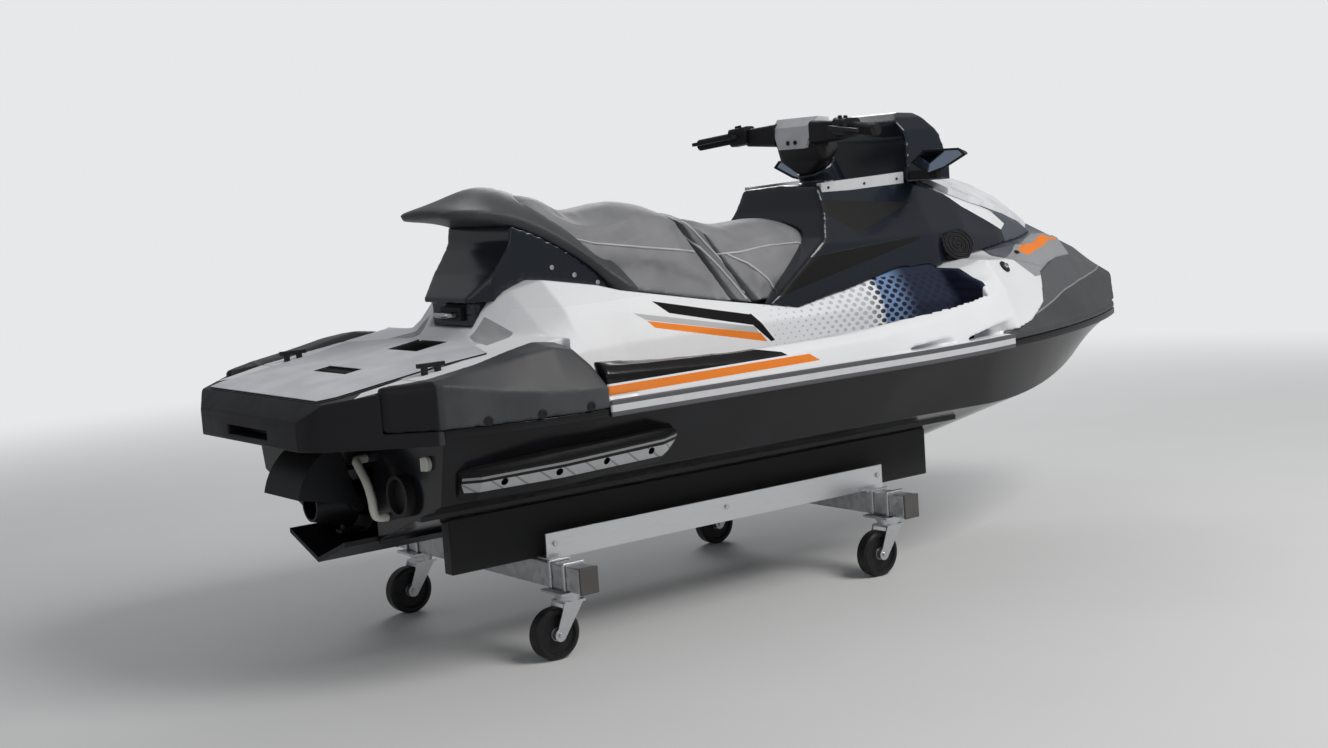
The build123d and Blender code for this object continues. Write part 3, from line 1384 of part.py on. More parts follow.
with BuildPart() as beam_caps:
    for x in BEAM_X:
        for side in (1, -1):
            with Locations((x, side * (BEAM_HALF + CAP_T / 2), TUBE_TOP_Z - TUBE_H / 2)):
                Box(TUBE_W + 2 * CAP_PROUD, CAP_T, TUBE_H + 2 * CAP_PROUD)
save(beam_caps, "beam_caps")

with BuildPart() as bunks:
    for side in (1, -1):
        with BuildSketch(crossways(BUNK_X0)):
            with BuildLine():
                Polyline(
                    (side * BUNK_Y0, TUBE_TOP_Z),
                    (side * BUNK_Y1, TUBE_TOP_Z),
                    (side * BUNK_Y1, bottom_z(BUNK_Y1) - GAP),
                    (side * BUNK_Y0, bottom_z(BUNK_Y0) - GAP),
                    close=True,
                )
            make_face()
        extrude(amount=BUNK_X1 - BUNK_X0)
save(bunks, "bunks")

with BuildPart() as side_rails:
    for side in (1, -1):
        with BuildSketch(crossways(RAIL_X0)):
            with BuildLine():
                Polyline(
                    (side * (BUNK_Y1 + GAP), TUBE_TOP_Z),
                    (side * RAIL_Y, TUBE_TOP_Z),
                    (side * RAIL_Y, TUBE_TOP_Z + RAIL_H),
                    (side * (RAIL_Y - RAIL_WALL), TUBE_TOP_Z + RAIL_H),
                    (side * (RAIL_Y - RAIL_WALL), TUBE_TOP_Z + RAIL_WALL),
                    (side * (BUNK_Y1 + GAP), TUBE_TOP_Z + RAIL_WALL),
                    close=True,
                )
            make_face()
        extrude(amount=RAIL_X1 - RAIL_X0)
save(side_rails, "side_rails")

RAIL_BOLTS = ((-933.0, 268.0), (-389.0, 268.0), (158.0, 268.0))
RAIL_BOLT_R, RAIL_BOLT_H = 7.0, 5.0
with BuildPart() as rail_bolts:
    for x, z in RAIL_BOLTS:
        for side in (1, -1):
            on_rail = Plane(origin=(x, side * RAIL_Y, z), x_dir=(1, 0, 0), z_dir=(0, side, 0))
            with BuildSketch(on_rail):
                RegularPolygon(RAIL_BOLT_R, 6)
            extrude(amount=RAIL_BOLT_H)
save(rail_bolts, "rail_bolts")

# Casters: mounting plate with its race ring, straps round the beam, swivel fork and wheel
PLATE_L, PLATE_W, MOUNT_T = 100.0, 95.0, 6.0
RACE_R, RACE_H, FORK_RACE_R = 34.0, 10.0, 30.0
KINGPIN_R, KINGPIN_CLEAR = 8.0, 0.1
STRAP_W, STRAP_T, STRAP_OFFSET = 10.0, 6.0, 30.0
FORK_LEG_IN, FORK_LEG_T, CROWN_T = WHEEL_W / 2 + MOVING_GAP, 4.0, 6.0
AXLE_R, AXLE_PAST, LEG_END_R, LEG_HALF, LEG_LOW_Z = 6.0, 5.0, 16.0, 15.0, WHEEL_R - 6.0
CASTERS = {
    "rear_left": (BEAM_X[0], CASTER_Y),
    "rear_right": (BEAM_X[0], -CASTER_Y),
    "front_left": (BEAM_X[1], CASTER_Y),
    "front_right": (BEAM_X[1], -CASTER_Y),
}
MOUNT_Z = TUBE_BOTTOM_Z - MOUNT_T
RACE_Z = MOUNT_Z - RACE_H
FORK_TOP_Z = RACE_Z - GAP
CROWN_Z = FORK_TOP_Z - RACE_H
with BuildPart() as caster_plates:
    for x, y in CASTERS.values():
        with Locations((x, y, MOUNT_Z)):
            Box(PLATE_L, PLATE_W, MOUNT_T, align=(Align.CENTER, Align.CENTER, Align.MIN))
        with Locations((x, y, RACE_Z)):
            Cylinder(RACE_R, RACE_H, align=(Align.CENTER, Align.CENTER, Align.MIN))
            Cylinder(
                KINGPIN_R + KINGPIN_CLEAR,
                3 * RACE_H,
                align=(Align.CENTER, Align.CENTER, Align.MIN),
                mode=Mode.SUBTRACT,
            )
save(caster_plates, "caster_plates")

with BuildPart() as beam_straps:
    for x, y in CASTERS.values():
        for step in (-1, 1):
            with BuildSketch(SIDEWAYS.offset(-y - step * STRAP_OFFSET)):
                with Locations((x, TUBE_BOTTOM_Z)):
                    Rectangle(
                        TUBE_W + 2 * (GAP + STRAP_T),
                        TUBE_H + GAP + STRAP_T,
                        align=(Align.CENTER, Align.MIN),
                    )
                    Rectangle(
                        TUBE_W + 2 * GAP,
                        TUBE_H + GAP,
                        align=(Align.CENTER, Align.MIN),
                        mode=Mode.SUBTRACT,
                    )
            extrude(amount=STRAP_W / 2, both=True)
save(beam_straps, "beam_straps")


def caster_fork(x, y):
    """Swivel fork with its race, kingpin, legs and axle."""
    leg = [
        (x - FORK_RACE_R, CROWN_Z),
        (x + FORK_RACE_R - FORK_LEG_T, CROWN_Z),
        (x - TRAIL + LEG_HALF, LEG_LOW_Z),
        (x - TRAIL - LEG_HALF, LEG_LOW_Z),
    ]
    with BuildPart() as form:
        with Locations((x, y, CROWN_Z)):
            Cylinder(FORK_RACE_R, RACE_H, align=(Align.CENTER, Align.CENTER, Align.MIN))
            Cylinder(
                KINGPIN_R,
                MOUNT_Z + MOUNT_T - GAP - CROWN_Z,
                align=(Align.CENTER, Align.CENTER, Align.MIN),
            )
            Box(
                2 * FORK_RACE_R,
                2 * (FORK_LEG_IN + FORK_LEG_T),
                CROWN_T,
                align=(Align.CENTER, Align.CENTER, Align.MAX),
            )
        for side in (1, -1):
            with BuildSketch(SIDEWAYS.offset(-y - side * FORK_LEG_IN)):
                with BuildLine():
                    Polyline(*leg, close=True)
                make_face()
                with Locations((x - TRAIL, WHEEL_R)):
                    Circle(LEG_END_R)
            extrude(amount=-side * FORK_LEG_T)
        with Locations((x - TRAIL, y, WHEEL_R)):
            Cylinder(AXLE_R, 2 * (FORK_LEG_IN + FORK_LEG_T + AXLE_PAST), rotation=(90, 0, 0))
    return form.part


# Half section of a caster wheel, as (half width, radius), from the bore out to the tread
WHEEL_PROFILE = (
    (FORK_LEG_IN - GAP, AXLE_R + GAP),
    (FORK_LEG_IN - GAP, AXLE_R + 7.0),
    (WHEEL_W / 2 - 7.0, AXLE_R + 9.0),
    (WHEEL_W / 2 - 7.0, WHEEL_R - 18.0),
    (WHEEL_W / 2, WHEEL_R - 14.0),
    (WHEEL_W / 2, WHEEL_R - 6.0),
    (WHEEL_W / 2 - 6.0, WHEEL_R),
)


def caster_wheel(x, y):
    """Wheel with a rounded tread, dished faces and hub bosses."""
    with BuildPart() as form:
        with BuildSketch(Plane(origin=(x - TRAIL, y, WHEEL_R), x_dir=(0, 1, 0), z_dir=(1, 0, 0))):
            with BuildLine():
                Polyline(
                    *WHEEL_PROFILE,
                    *[(-half, radius) for half, radius in reversed(WHEEL_PROFILE)],
                    close=True,
                )
            make_face()
        revolve(axis=Axis((x - TRAIL, y, WHEEL_R), (0, 1, 0)))
    return form.part


for caster_name, (x, y) in CASTERS.items():
    with BuildPart() as fork:
        add(caster_fork(x, y))
    save(fork, f"caster_fork_{caster_name}")
    with BuildPart() as wheel:
        add(caster_wheel(x, y))
    save(wheel, f"caster_wheel_{caster_name}")
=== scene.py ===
"""Looks of the runabout watercraft and its shop dolly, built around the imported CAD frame."""

import json
import math

import bpy
from mathutils import Matrix, Vector
from mathutils.bvhtree import BVHTree


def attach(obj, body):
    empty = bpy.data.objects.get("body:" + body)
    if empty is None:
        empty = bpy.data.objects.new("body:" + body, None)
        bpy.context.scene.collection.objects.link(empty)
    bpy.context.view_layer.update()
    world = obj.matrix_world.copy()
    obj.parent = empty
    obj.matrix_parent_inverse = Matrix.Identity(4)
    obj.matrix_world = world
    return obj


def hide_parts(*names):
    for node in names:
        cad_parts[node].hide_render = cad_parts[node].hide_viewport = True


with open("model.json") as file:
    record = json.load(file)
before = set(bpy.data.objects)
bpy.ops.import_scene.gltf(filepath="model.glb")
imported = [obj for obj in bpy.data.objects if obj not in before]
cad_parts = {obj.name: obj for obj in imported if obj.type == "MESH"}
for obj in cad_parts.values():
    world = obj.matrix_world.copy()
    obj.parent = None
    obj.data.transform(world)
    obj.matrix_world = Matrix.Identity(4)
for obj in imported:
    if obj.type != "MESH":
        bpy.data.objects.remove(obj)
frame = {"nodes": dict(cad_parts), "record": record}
bpy.ops.object.select_all(action="DESELECT")
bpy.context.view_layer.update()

BODY_OF = {
    node: body
    for body, nodes in frame["record"]["behaviour"]["bodies"].items()
    for node in nodes
}


# Camera, at the photograph's place, with the photograph's frame of 1328 by 748 pixels
CAMERA_AT = Vector((-3.224, -3.8963, 1.1416))
CAMERA_YAW, CAMERA_PITCH, CAMERA_ROLL = 0.63762, 0.11112, -0.06805
FOCAL_PIXELS, FRAME_PIXELS, SENSOR = 1756.34, 1328.0, 36.0


def place_camera():
    """Camera that looks along yaw (from +Y towards +X), tilted down by pitch and rolled."""
    cos_p = math.cos(CAMERA_PITCH)
    forward = Vector(
        (math.sin(CAMERA_YAW) * cos_p, math.cos(CAMERA_YAW) * cos_p, -math.sin(CAMERA_PITCH))
    )
    level = Vector((math.cos(CAMERA_YAW), -math.sin(CAMERA_YAW), 0.0))
    above = level.cross(forward)
    cos_r, sin_r = math.cos(CAMERA_ROLL), math.sin(CAMERA_ROLL)
    right = cos_r * level + sin_r * above
    up = -sin_r * level + cos_r * above
    data = bpy.data.cameras.new("view")
    data.sensor_width = SENSOR
    data.lens = FOCAL_PIXELS * SENSOR / FRAME_PIXELS
    camera = bpy.data.objects.new("view", data)
    bpy.context.scene.collection.objects.link(camera)
    turn = Matrix((right, up, -forward)).transposed().to_4x4()
    camera.matrix_world = Matrix.Translation(CAMERA_AT) @ turn
    bpy.context.scene.camera = camera


place_camera()
bpy.context.scene.view_settings.view_transform = "Standard"


# Shader kit: sums on sockets written as plain expressions
class Value:
    """A number in a material that varies over the surface."""

    def __init__(self, finish, socket):
        self.finish = finish
        self.socket = socket

    def __add__(self, other):
        return self.finish.math("ADD", self, other)

    def __sub__(self, other):
        return self.finish.math("SUBTRACT", self, other)

    def __mul__(self, other):
        return self.finish.math("MULTIPLY", self, other)

    def __truediv__(self, other):
        return self.finish.math("DIVIDE", self, other)

    def __rsub__(self, other):
        return self.finish.math("SUBTRACT", other, self)

    def __gt__(self, other):
        return self.finish.math("GREATER_THAN", self, other)

    def __lt__(self, other):
        return self.finish.math("LESS_THAN", self, other)

    __radd__ = __add__
    __rmul__ = __mul__

    def sine(self):
        return self.finish.math("SINE", self)

    def size(self):
        return self.finish.math("ABSOLUTE", self)

    def root(self):
        return self.finish.math("SQRT", self)

    def lowest(self, other):
        return self.finish.math("MINIMUM", self, other)

    def highest(self, other):
        return self.finish.math("MAXIMUM", self, other)

    def wrap(self, step):
        return self.finish.math("PINGPONG", self, step)

    def fade(self, low, high):
        """0 below low and 1 above high, with a soft step between."""
        return self.finish.node(
            "ShaderNodeMapRange",
            {"interpolation_type": "SMOOTHSTEP"},
            {"Value": self, "From Min": low, "From Max": high},
        )


class Finish:
    """A material, made of a Principled shader and what feeds it."""

    def __init__(self, name, color, roughness, metallic=0.0, coat=0.0, coat_roughness=0.1):
        self.material = bpy.data.materials.new(name)
        self.material.use_nodes = True
        self.tree = self.material.node_tree
        self.shader = self.tree.nodes["Principled BSDF"]
        self.color = (*color, 1.0)
        self.set("Base Color", self.color)
        self.set("Roughness", roughness)
        self.set("Metallic", metallic)
        self.set("Coat Weight", coat)
        self.set("Coat Roughness", coat_roughness)
        self.set("Specular IOR Level", 0.2)
        self.at = None

    def link(self, value, socket):
        if isinstance(value, Value):
            self.tree.links.new(value.socket, socket)
        else:
            socket.default_value = value

    def node(self, kind, settings=None, values=None, out=0):
        made = self.tree.nodes.new(kind)
        for key, value in (settings or {}).items():
            setattr(made, key, value)
        for key, value in (values or {}).items():
            self.link(value, made.inputs[key])
        return Value(self, made.outputs[out])

    def math(self, operation, *values):
        return self.node("ShaderNodeMath", {"operation": operation}, dict(enumerate(values)))

    def set(self, socket, value):
        self.link(value, self.shader.inputs[socket])

    def place(self):
        """Object coordinates, in metres in the row frame."""
        if self.at is None:
            self.at = self.node("ShaderNodeTexCoord", out="Object")
        return self.at

    def xyz(self):
        made = self.tree.nodes.new("ShaderNodeSeparateXYZ")
        self.link(self.place(), made.inputs[0])
        return [Value(self, made.outputs[index]) for index in range(3)]

    def facing(self):
        """The surface's own normal, split in three."""
        made = self.tree.nodes.new("ShaderNodeSeparateXYZ")
        self.link(self.node("ShaderNodeNewGeometry", out="Normal"), made.inputs[0])
        return [Value(self, made.outputs[index]) for index in range(3)]

    def stretched(self, scale):
        return self.node("ShaderNodeMapping", None, {"Vector": self.place(), "Scale": scale})

    def noise(self, scale, detail=3.0, rough=0.5, at=None):
        values = {"Vector": at or self.place(), "Scale": scale, "Detail": detail, "Roughness": rough}
        return self.node("ShaderNodeTexNoise", None, values)

    def cells(self, scale, feature="F1", at=None, out="Distance"):
        values = {"Vector": at or self.place(), "Scale": scale}
        return self.node("ShaderNodeTexVoronoi", {"feature": feature}, values, out)

    def blend(self, mask, low, high):
        """Colour low where mask is 0 and high where it is 1."""
        made = self.tree.nodes.new("ShaderNodeMix")
        made.data_type = "RGBA"
        self.link(mask, made.inputs[0])
        self.link(low if isinstance(low, Value) else (*low[:3], 1.0), made.inputs[6])
        self.link(high if isinstance(high, Value) else (*high[:3], 1.0), made.inputs[7])
        return Value(self, made.outputs[2])

    def bump(self, height, strength, distance=0.001):
        made = self.node(
            "ShaderNodeBump", None, {"Height": height, "Strength": strength, "Distance": distance}
        )
        self.set("Normal", made)

    def grain(self, scale, strength, distance=0.0006, low=0.85, high=1.12):
        """Moulded grain: a fine bump and a faint mottle in the colour."""
        self.bump(self.cells(scale), strength, distance)
        tone = self.noise(9.0, 4.0).fade(0.3, 0.7)
        shade = [tuple(min(1.0, channel * k) for channel in self.color[:3]) for k in (low, high)]
        self.set("Base Color", self.blend(tone, *shade))
        return tone


def wedge(along, across, points):
    """1 inside a convex outline of (along, across) points, in either order."""
    inside = None
    turned = sum(x0 * y1 - x1 * y0 for (x0, y0), (x1, y1) in zip(points, points[1:] + points[:1]))
    if turned < 0.0:
        points = points[::-1]
    for (x0, y0), (x1, y1) in zip(points, points[1:] + points[:1]):
        side = (across - y0) * (x1 - x0) - (along - x0) * (y1 - y0)
        test = side > 0.0
        inside = test if inside is None else inside * test
    return inside


WHITE = (0.78, 0.79, 0.81)
BLACK = (0.005, 0.005, 0.006)
MATT_BLACK = (0.022, 0.022, 0.024)
ORANGE = (0.84, 0.23, 0.03)
PALE_GREY = (0.46, 0.47, 0.47)
SILVER = (0.50, 0.51, 0.53)
BLUE = (0.16, 0.25, 0.42)
NAVY = (0.016, 0.022, 0.045)


def glossy_black(name):
    made = Finish(name, BLACK, 0.14, coat=0.2, coat_roughness=0.2)
    haze = made.noise(6.0, 5.0).fade(0.35, 0.75)
    made.set("Roughness", haze * 0.08 + 0.18)
    made.set("Base Color", made.blend(haze, BLACK, (0.008, 0.009, 0.012)))
    return made


def hull_black(name):
    """Gloss black hull skin, a little uneven in its shine."""
    made = glossy_black(name)
    haze = made.noise(4.0, 4.0).fade(0.3, 0.7)
    made.set("Roughness", haze * 0.10 + 0.14)
    return made.material


# The cowl's pale skirt beside the front lid, as (x, z), and the bow cap's parts, as (x, |y|)
WHITE_SKIRT = [
    (0.612, 1.05), (0.622, 1.033), (0.675, 0.996), (0.838, 0.914), (0.87, 0.93), (0.70, 1.06)
]
# Bow cap: painted shade over its field, then the cap's own pale grey
CAP_PAINTED_SHADE = (0.085, 0.095, 0.115)
CAP_PALE = (0.30, 0.31, 0.325)
CAP_FIELD = [
    (0.669, 0.309), (0.687, 0.339), (0.782, 0.365), (1.3, 0.365), (1.3, 0.0), (0.80, 0.0)
]
CAP_PANEL = [(0.687, 0.339), (0.782, 0.365), (1.3, 0.30), (1.3, 0.05), (1.104, 0.105)]
CAP_FLASH = [
    (0.808, 0.286), (0.993, 0.198), (1.160, 0.132), (1.140, 0.150), (0.985, 0.233), (0.828, 0.305)
]


def cap_colors(made, x, y, z, color):
    """Bow cap over a base colour: a field of painted shade, the pale panel and its orange flash."""
    high = z > 0.775
    # Painted shade over the cap's field
    color = made.blend(wedge(x, y.size(), CAP_FIELD) * high, color, CAP_PAINTED_SHADE)
    color = made.blend(wedge(x, y.size(), CAP_PANEL) * high, color, CAP_PALE)
    return made.blend(wedge(x, y.size(), CAP_FLASH) * high, color, ORANGE)


# The cowl's matt inlay and its long fold, as (x, z)
COWL_INLAY = [(0.056, 1.053), (0.205, 0.949), (0.450, 1.022)]
COWL_FOLD = [(-0.136, 0.813), (-0.120, 0.800), (0.425, 0.915), (0.425, 0.926), (-0.034, 0.893)]


def cowl_black(name):
    """Gloss cowl tinted faintly blue as a painted sky reflection, with its matt inlay and fold on the flank,
    its pale skirt, and its nose, the grey bow cap, in painted shade.
    """
    made = glossy_black(name)
    x, y, z = made.xyz()
    flank = (y.size() > 0.13) * (made.facing()[1].size() > 0.5)
    inlay = flank * wedge(x, z, COWL_INLAY)
    fold = flank * wedge(x, z, COWL_FOLD)
    dull = inlay.highest(fold)
    # Gloss parts tinted faintly blue: a painted sky reflection; the matt inlay and fold are near-black
    color = made.blend(dull, (0.008, 0.011, 0.018), (0.004, 0.004, 0.004))
    skirt = wedge(x, z, WHITE_SKIRT) * (y.size() > 0.09)
    color = made.blend(skirt, color, WHITE)
    # Nose beyond the skirt: painted shade, as on the bow cap's field
    cap = (x > 0.838) * (1.0 - skirt)
    made.set("Base Color", made.blend(cap, color, CAP_PAINTED_SHADE))
    made.set("Roughness", dull.highest(cap) * 0.32 + skirt * 0.1 + 0.2)
    made.set("Coat Weight", 0.6 - dull.highest(cap) * 0.6)
    made.bump(dull * 0.4 + made.cells(700.0) * dull * 0.3, 0.35, 0.0008)
    return made.material


DECALS = (
    # Gunwale: black wedge, then the orange stripe between its pale edges
    (
        "outer",
        [(-0.975, 0.760), (-0.930, 0.673), (-0.368, 0.677), (-0.388, 0.690), (-0.620, 0.735)],
        BLACK,
    ),
    ("outer", [(-0.928, 0.676), (-0.930, 0.644), (-0.250, 0.651), (-0.296, 0.681)], WHITE),
    ("outer", [(-0.930, 0.671), (-0.930, 0.649), (-0.268, 0.656), (-0.302, 0.676)], ORANGE),
    # Pedestal flank: black angle, grey and orange bars
    ("inner", [(-0.566, 0.830), (-0.528, 0.796), (-0.257, 0.737), (-0.248, 0.764)], BLACK),
    (
        "inner",
        [(-0.262, 0.764), (-0.262, 0.742), (-0.197, 0.687), (-0.183, 0.689), (-0.246, 0.766)],
        BLACK,
    ),
    ("inner", [(-0.650, 0.808), (-0.616, 0.787), (-0.237, 0.714), (-0.249, 0.732)], PALE_GREY),
    ("inner", [(-0.615, 0.785), (-0.597, 0.766), (-0.211, 0.688), (-0.232, 0.713)], ORANGE),
)
# Grip patches beside the tail, and the joint round the mat, as (x, |y|)
GRIP_PATCH = [(-1.048, 0.250), (-1.021, 0.125), (-0.980, 0.135), (-0.962, 0.235)]
MAT_JOINT = [(-1.36, 0.318), (-1.36, 0.336), (-1.222, 0.341), (-1.105, 0.370), (-1.112, 0.340)]


def deck_white(name):
    """White gloss moulding with its stripes, the dotted fade and the bare grip patches."""
    made = Finish(name, WHITE, 0.25, coat=0.3)
    x, y, z = made.xyz()
    up = made.facing()[2]
    haze = made.noise(5.0, 4.0).fade(0.3, 0.8)
    color = made.blend(haze, (0.76, 0.775, 0.80), (0.80, 0.81, 0.825))
    outer = y.size() > 0.50
    inner = (y.size() < 0.46) * (y.size() > 0.2)
    places = {"outer": outer, "inner": inner}

    # Front of the footwell: dots on white, then on a blue fade that ends in black
    flange = (x > 0.38) * (y.size() > 0.42) * (z < 0.67)
    well = inner * (x < 0.474) * (z < 0.845) * (z > 0.57) * (1.0 - flange)
    depth = x.fade(0.205, 0.225) * well
    color = made.blend(depth, color, BLUE)
    color = made.blend(x.fade(0.25, 0.34) * well, color, NAVY)
    pitch, rise = 0.030, 0.026
    radius = x.fade(-0.25, 0.24) * 0.0062 + 0.0022
    rings = []
    for shift in (0.0, 0.5):
        across = (x + pitch * shift).wrap(pitch / 2)
        along = (z + rise * shift).wrap(rise / 2) * 1.35
        rings.append((across * across + along * along) < radius * radius)
    spot = rings[0].highest(rings[1]) * well * (x > -0.19) * (z > 0.66) * (z < 0.82)
    ink = made.blend(x.fade(0.15, 0.22), (0.50, 0.53, 0.58), (0.012, 0.016, 0.035))
    color = made.blend(spot, color, ink)
    for where, outline, paint_color in DECALS:
        color = made.blend(places[where] * wedge(x, z, outline), color, paint_color)

    # Wells of the mat: its recess, the pocket ahead of it, and the joint line round it
    low = z < 0.79
    dark = (x > -1.340) * (x < -1.285) * (y.size() < 0.096) * low
    dark = dark.highest((x > -1.150) * (x < -1.040) * (y.size() < 0.082) * low)
    joint = wedge(x, y.size(), MAT_JOINT)
    dark = dark.highest(joint * (z > 0.71) * low)
    color = made.blend(dark, color, (0.008, 0.008, 0.009))
    color = cap_colors(made, x, y, z, color)

    # Grip patches beside the tail, textured and silver-grey
    grip = wedge(x, y.size(), GRIP_PATCH) * (up > 0.1) * (z > 0.70)
    color = made.blend(grip, color, (0.36, 0.37, 0.38))
    made.bump(made.cells(420.0) * grip, 0.6, 0.0012)
    made.set("Base Color", color)
    dull = dark.highest(grip).highest(well)
    made.set("Roughness", haze * 0.08 + dull * 0.6 + 0.2)
    made.set("Coat Weight", 0.3 - dull * 0.3)
    return made.material


# Underside of the bow bumper, below its crease, as (x, z)
BOW_UNDER = [
    (0.40, 0.620), (0.707, 0.678), (0.951, 0.719), (1.119, 0.734),
    (1.306, 0.743), (1.60, 0.750), (1.60, 0.50), (0.40, 0.50),
]


def bumper_grey(name, color=(0.062, 0.064, 0.069)):
    """Moulded bumper in matt dark grey, painted near-black on the rear faces astern as painted shade,
    painted light on the bow above its crease with a painted highlight along it, and white strips beside the
    mat.
    """
    made = Finish(name, color, 0.45)
    tone = made.grain(650.0, 0.2)
    x, y, z = made.xyz()
    up = made.facing()[2]
    base = made.blend(tone, [c * 0.85 for c in color], [c * 1.12 for c in color])
    # Painted shade: the rear faces astern are painted near-black
    base = made.blend(x.fade(-1.343, -1.337), (0.012, 0.012, 0.014), base)
    # Bow: painted light above the crease, then a painted highlight line along the crease
    bow, under = (x > 0.42) * (z < 0.90), wedge(x, z, BOW_UNDER)
    base = made.blend(bow * (1.0 - under), base, (0.100, 0.103, 0.110))
    crease = wedge(x, z - 0.004, BOW_UNDER) * (1.0 - under)
    base = made.blend(bow * crease, base, (0.24, 0.245, 0.255))
    strip = wedge(x, y.size(), [(-1.478, 0.384), (-1.440, 0.345), (-1.325, 0.338), (-1.325, 0.424)])
    made.set("Base Color", made.blend(strip * (up > 0.8) * (z > 0.69), base, WHITE))
    made.set("Roughness", tone * 0.1 + 0.38)
    return made.material


def rail_silver(name):
    made = Finish(name, SILVER, 0.35)
    x, y, z = made.xyz()
    tone = made.noise(30.0, 3.0)
    silver = made.blend(tone, (0.5, 0.51, 0.53), (0.62, 0.63, 0.65))
    band = ((z > 0.612) * (z < 0.628)).highest(z > 1.0)
    made.set("Base Color", made.blend(band, (0.10, 0.10, 0.11), silver))
    return made.material


def vinyl(name, color):
    made = Finish(name, color, 0.55)
    made.bump(made.cells(420.0) + made.noise(30.0, 3.0) * 0.6, 0.3, 0.0006)
    tone = made.noise(7.0, 4.0).fade(0.3, 0.7)
    shade = [tuple(channel * k for channel in color) for k in (0.88, 1.12)]
    made.set("Base Color", made.blend(tone, *shade))
    made.set("Roughness", tone * 0.1 + 0.5)
    return made.material


def grained(name, color, roughness=0.5, scale=700.0, strength=0.3):
    made = Finish(name, color, roughness)
    tone = made.grain(scale, strength)
    made.set("Roughness", tone * 0.1 + roughness - 0.05)
    return made.material


def metal(name, color, roughness, brushed=(1.0, 1.0, 1.0), scale=60.0, strength=0.1):
    made = Finish(name, color, roughness, metallic=1.0)
    streak = made.noise(scale, 4.0, at=made.stretched(brushed))
    made.set("Roughness", streak * 0.2 + roughness - 0.1)
    shade = [tuple(min(1.0, channel * k) for channel in color) for k in (0.85, 1.1)]
    made.set("Base Color", made.blend(streak, *shade))
    made.bump(streak, strength, 0.0004)
    return made.material


def galvanised(name):
    made = Finish(name, (0.5, 0.51, 0.52), 0.45, metallic=0.85)
    spangle = made.cells(55.0, out="Color")
    tone = made.node("ShaderNodeSeparateColor", None, {"Color": spangle})
    made.set("Base Color", made.blend(tone, (0.40, 0.41, 0.42), (0.60, 0.61, 0.62)))
    made.set("Roughness", tone * 0.25 + 0.35)
    return made.material


def ribbed(name, color, axis, pitch, strength=0.8):
    made = Finish(name, color, 0.7)
    along = made.xyz()[axis]
    made.bump((along * (math.tau / pitch)).sine(), strength, 0.0015)
    return made.material


def mat_foam(name, color):
    """Deck mat of closed-cell foam: a fine grain on top and dark cut sides."""
    made = Finish(name, color, 0.8)
    made.bump(made.cells(800.0) * 0.6 + made.noise(260.0, 2.0) * 0.5, 0.5, 0.001)
    tone = made.noise(10.0, 5.0).fade(0.3, 0.7)
    shade = [tuple(channel * k for channel in color) for k in (0.9, 1.08)]
    speck = made.cells(950.0).fade(0.1, 0.5)
    base = made.blend(speck, [c * 0.8 for c in color], made.blend(tone, *shade))
    side = 1.0 - made.facing()[2].size().fade(0.3, 0.7)
    made.set("Base Color", made.blend(side, base, (0.012, 0.012, 0.013)))
    made.set("Roughness", tone * 0.1 + 0.75)
    return made.material


def carpet(name):
    made = Finish(name, (0.012, 0.012, 0.013), 0.95)
    fuzz = made.noise(900.0, 3.0, 0.8)
    made.bump(fuzz, 0.9, 0.002)
    made.set("Base Color", made.blend(fuzz, (0.006, 0.006, 0.007), (0.03, 0.03, 0.032)))
    made.shader.inputs["Sheen Weight"].default_value = 0.25
    return made.material


def screen_glass(name):
    made = Finish(name, (0.01, 0.012, 0.015), 0.08, coat=0.6)
    glow = made.noise(12.0, 2.0)
    made.set("Base Color", made.blend(glow, (0.008, 0.01, 0.012), (0.025, 0.03, 0.034)))
    return made.material


def nose_paint(name):
    """Pale panel on the bow's shoulder with its orange flash."""
    made = Finish(name, CAP_PALE, 0.4)
    x, y, z = made.xyz()
    tone = made.noise(8.0, 3.0)
    base = made.blend(tone, [c * 0.92 for c in CAP_PALE], [c * 1.06 for c in CAP_PALE])
    made.set("Base Color", made.blend(wedge(x, y.size(), CAP_FLASH), base, ORANGE))
    made.bump(made.cells(700.0), 0.15, 0.0005)
    return made.material


POD_FACE, POD_RING = (0.551, 0.892), 0.011


def trim_paint(name, color=(0.016, 0.016, 0.018)):
    """Black trim; the round pods on the cowl's flanks are ringed and glossy."""
    made = Finish(name, color, 0.42)
    tone = made.noise(9.0, 4.0).fade(0.3, 0.7)
    x, y, z = made.xyz()
    across, up = x - POD_FACE[0], z - POD_FACE[1]
    radius = (across * across + up * up).root()
    face = (radius < 0.050) * (y.size() > 0.2)
    ring = (radius * (math.tau / POD_RING)).sine() * face
    made.bump(ring + made.cells(600.0) * 0.05, 0.9, 0.004)
    made.set("Base Color", made.blend(tone, [c * 0.85 for c in color], [c * 1.12 for c in color]))
    made.set("Roughness", tone * 0.1 + 0.38 - face * 0.22)
    return made.material


SPONSON_HOLES = ((-1.202, 0.488), (-1.070, 0.492), (-0.941, 0.498), (-0.813, 0.503))


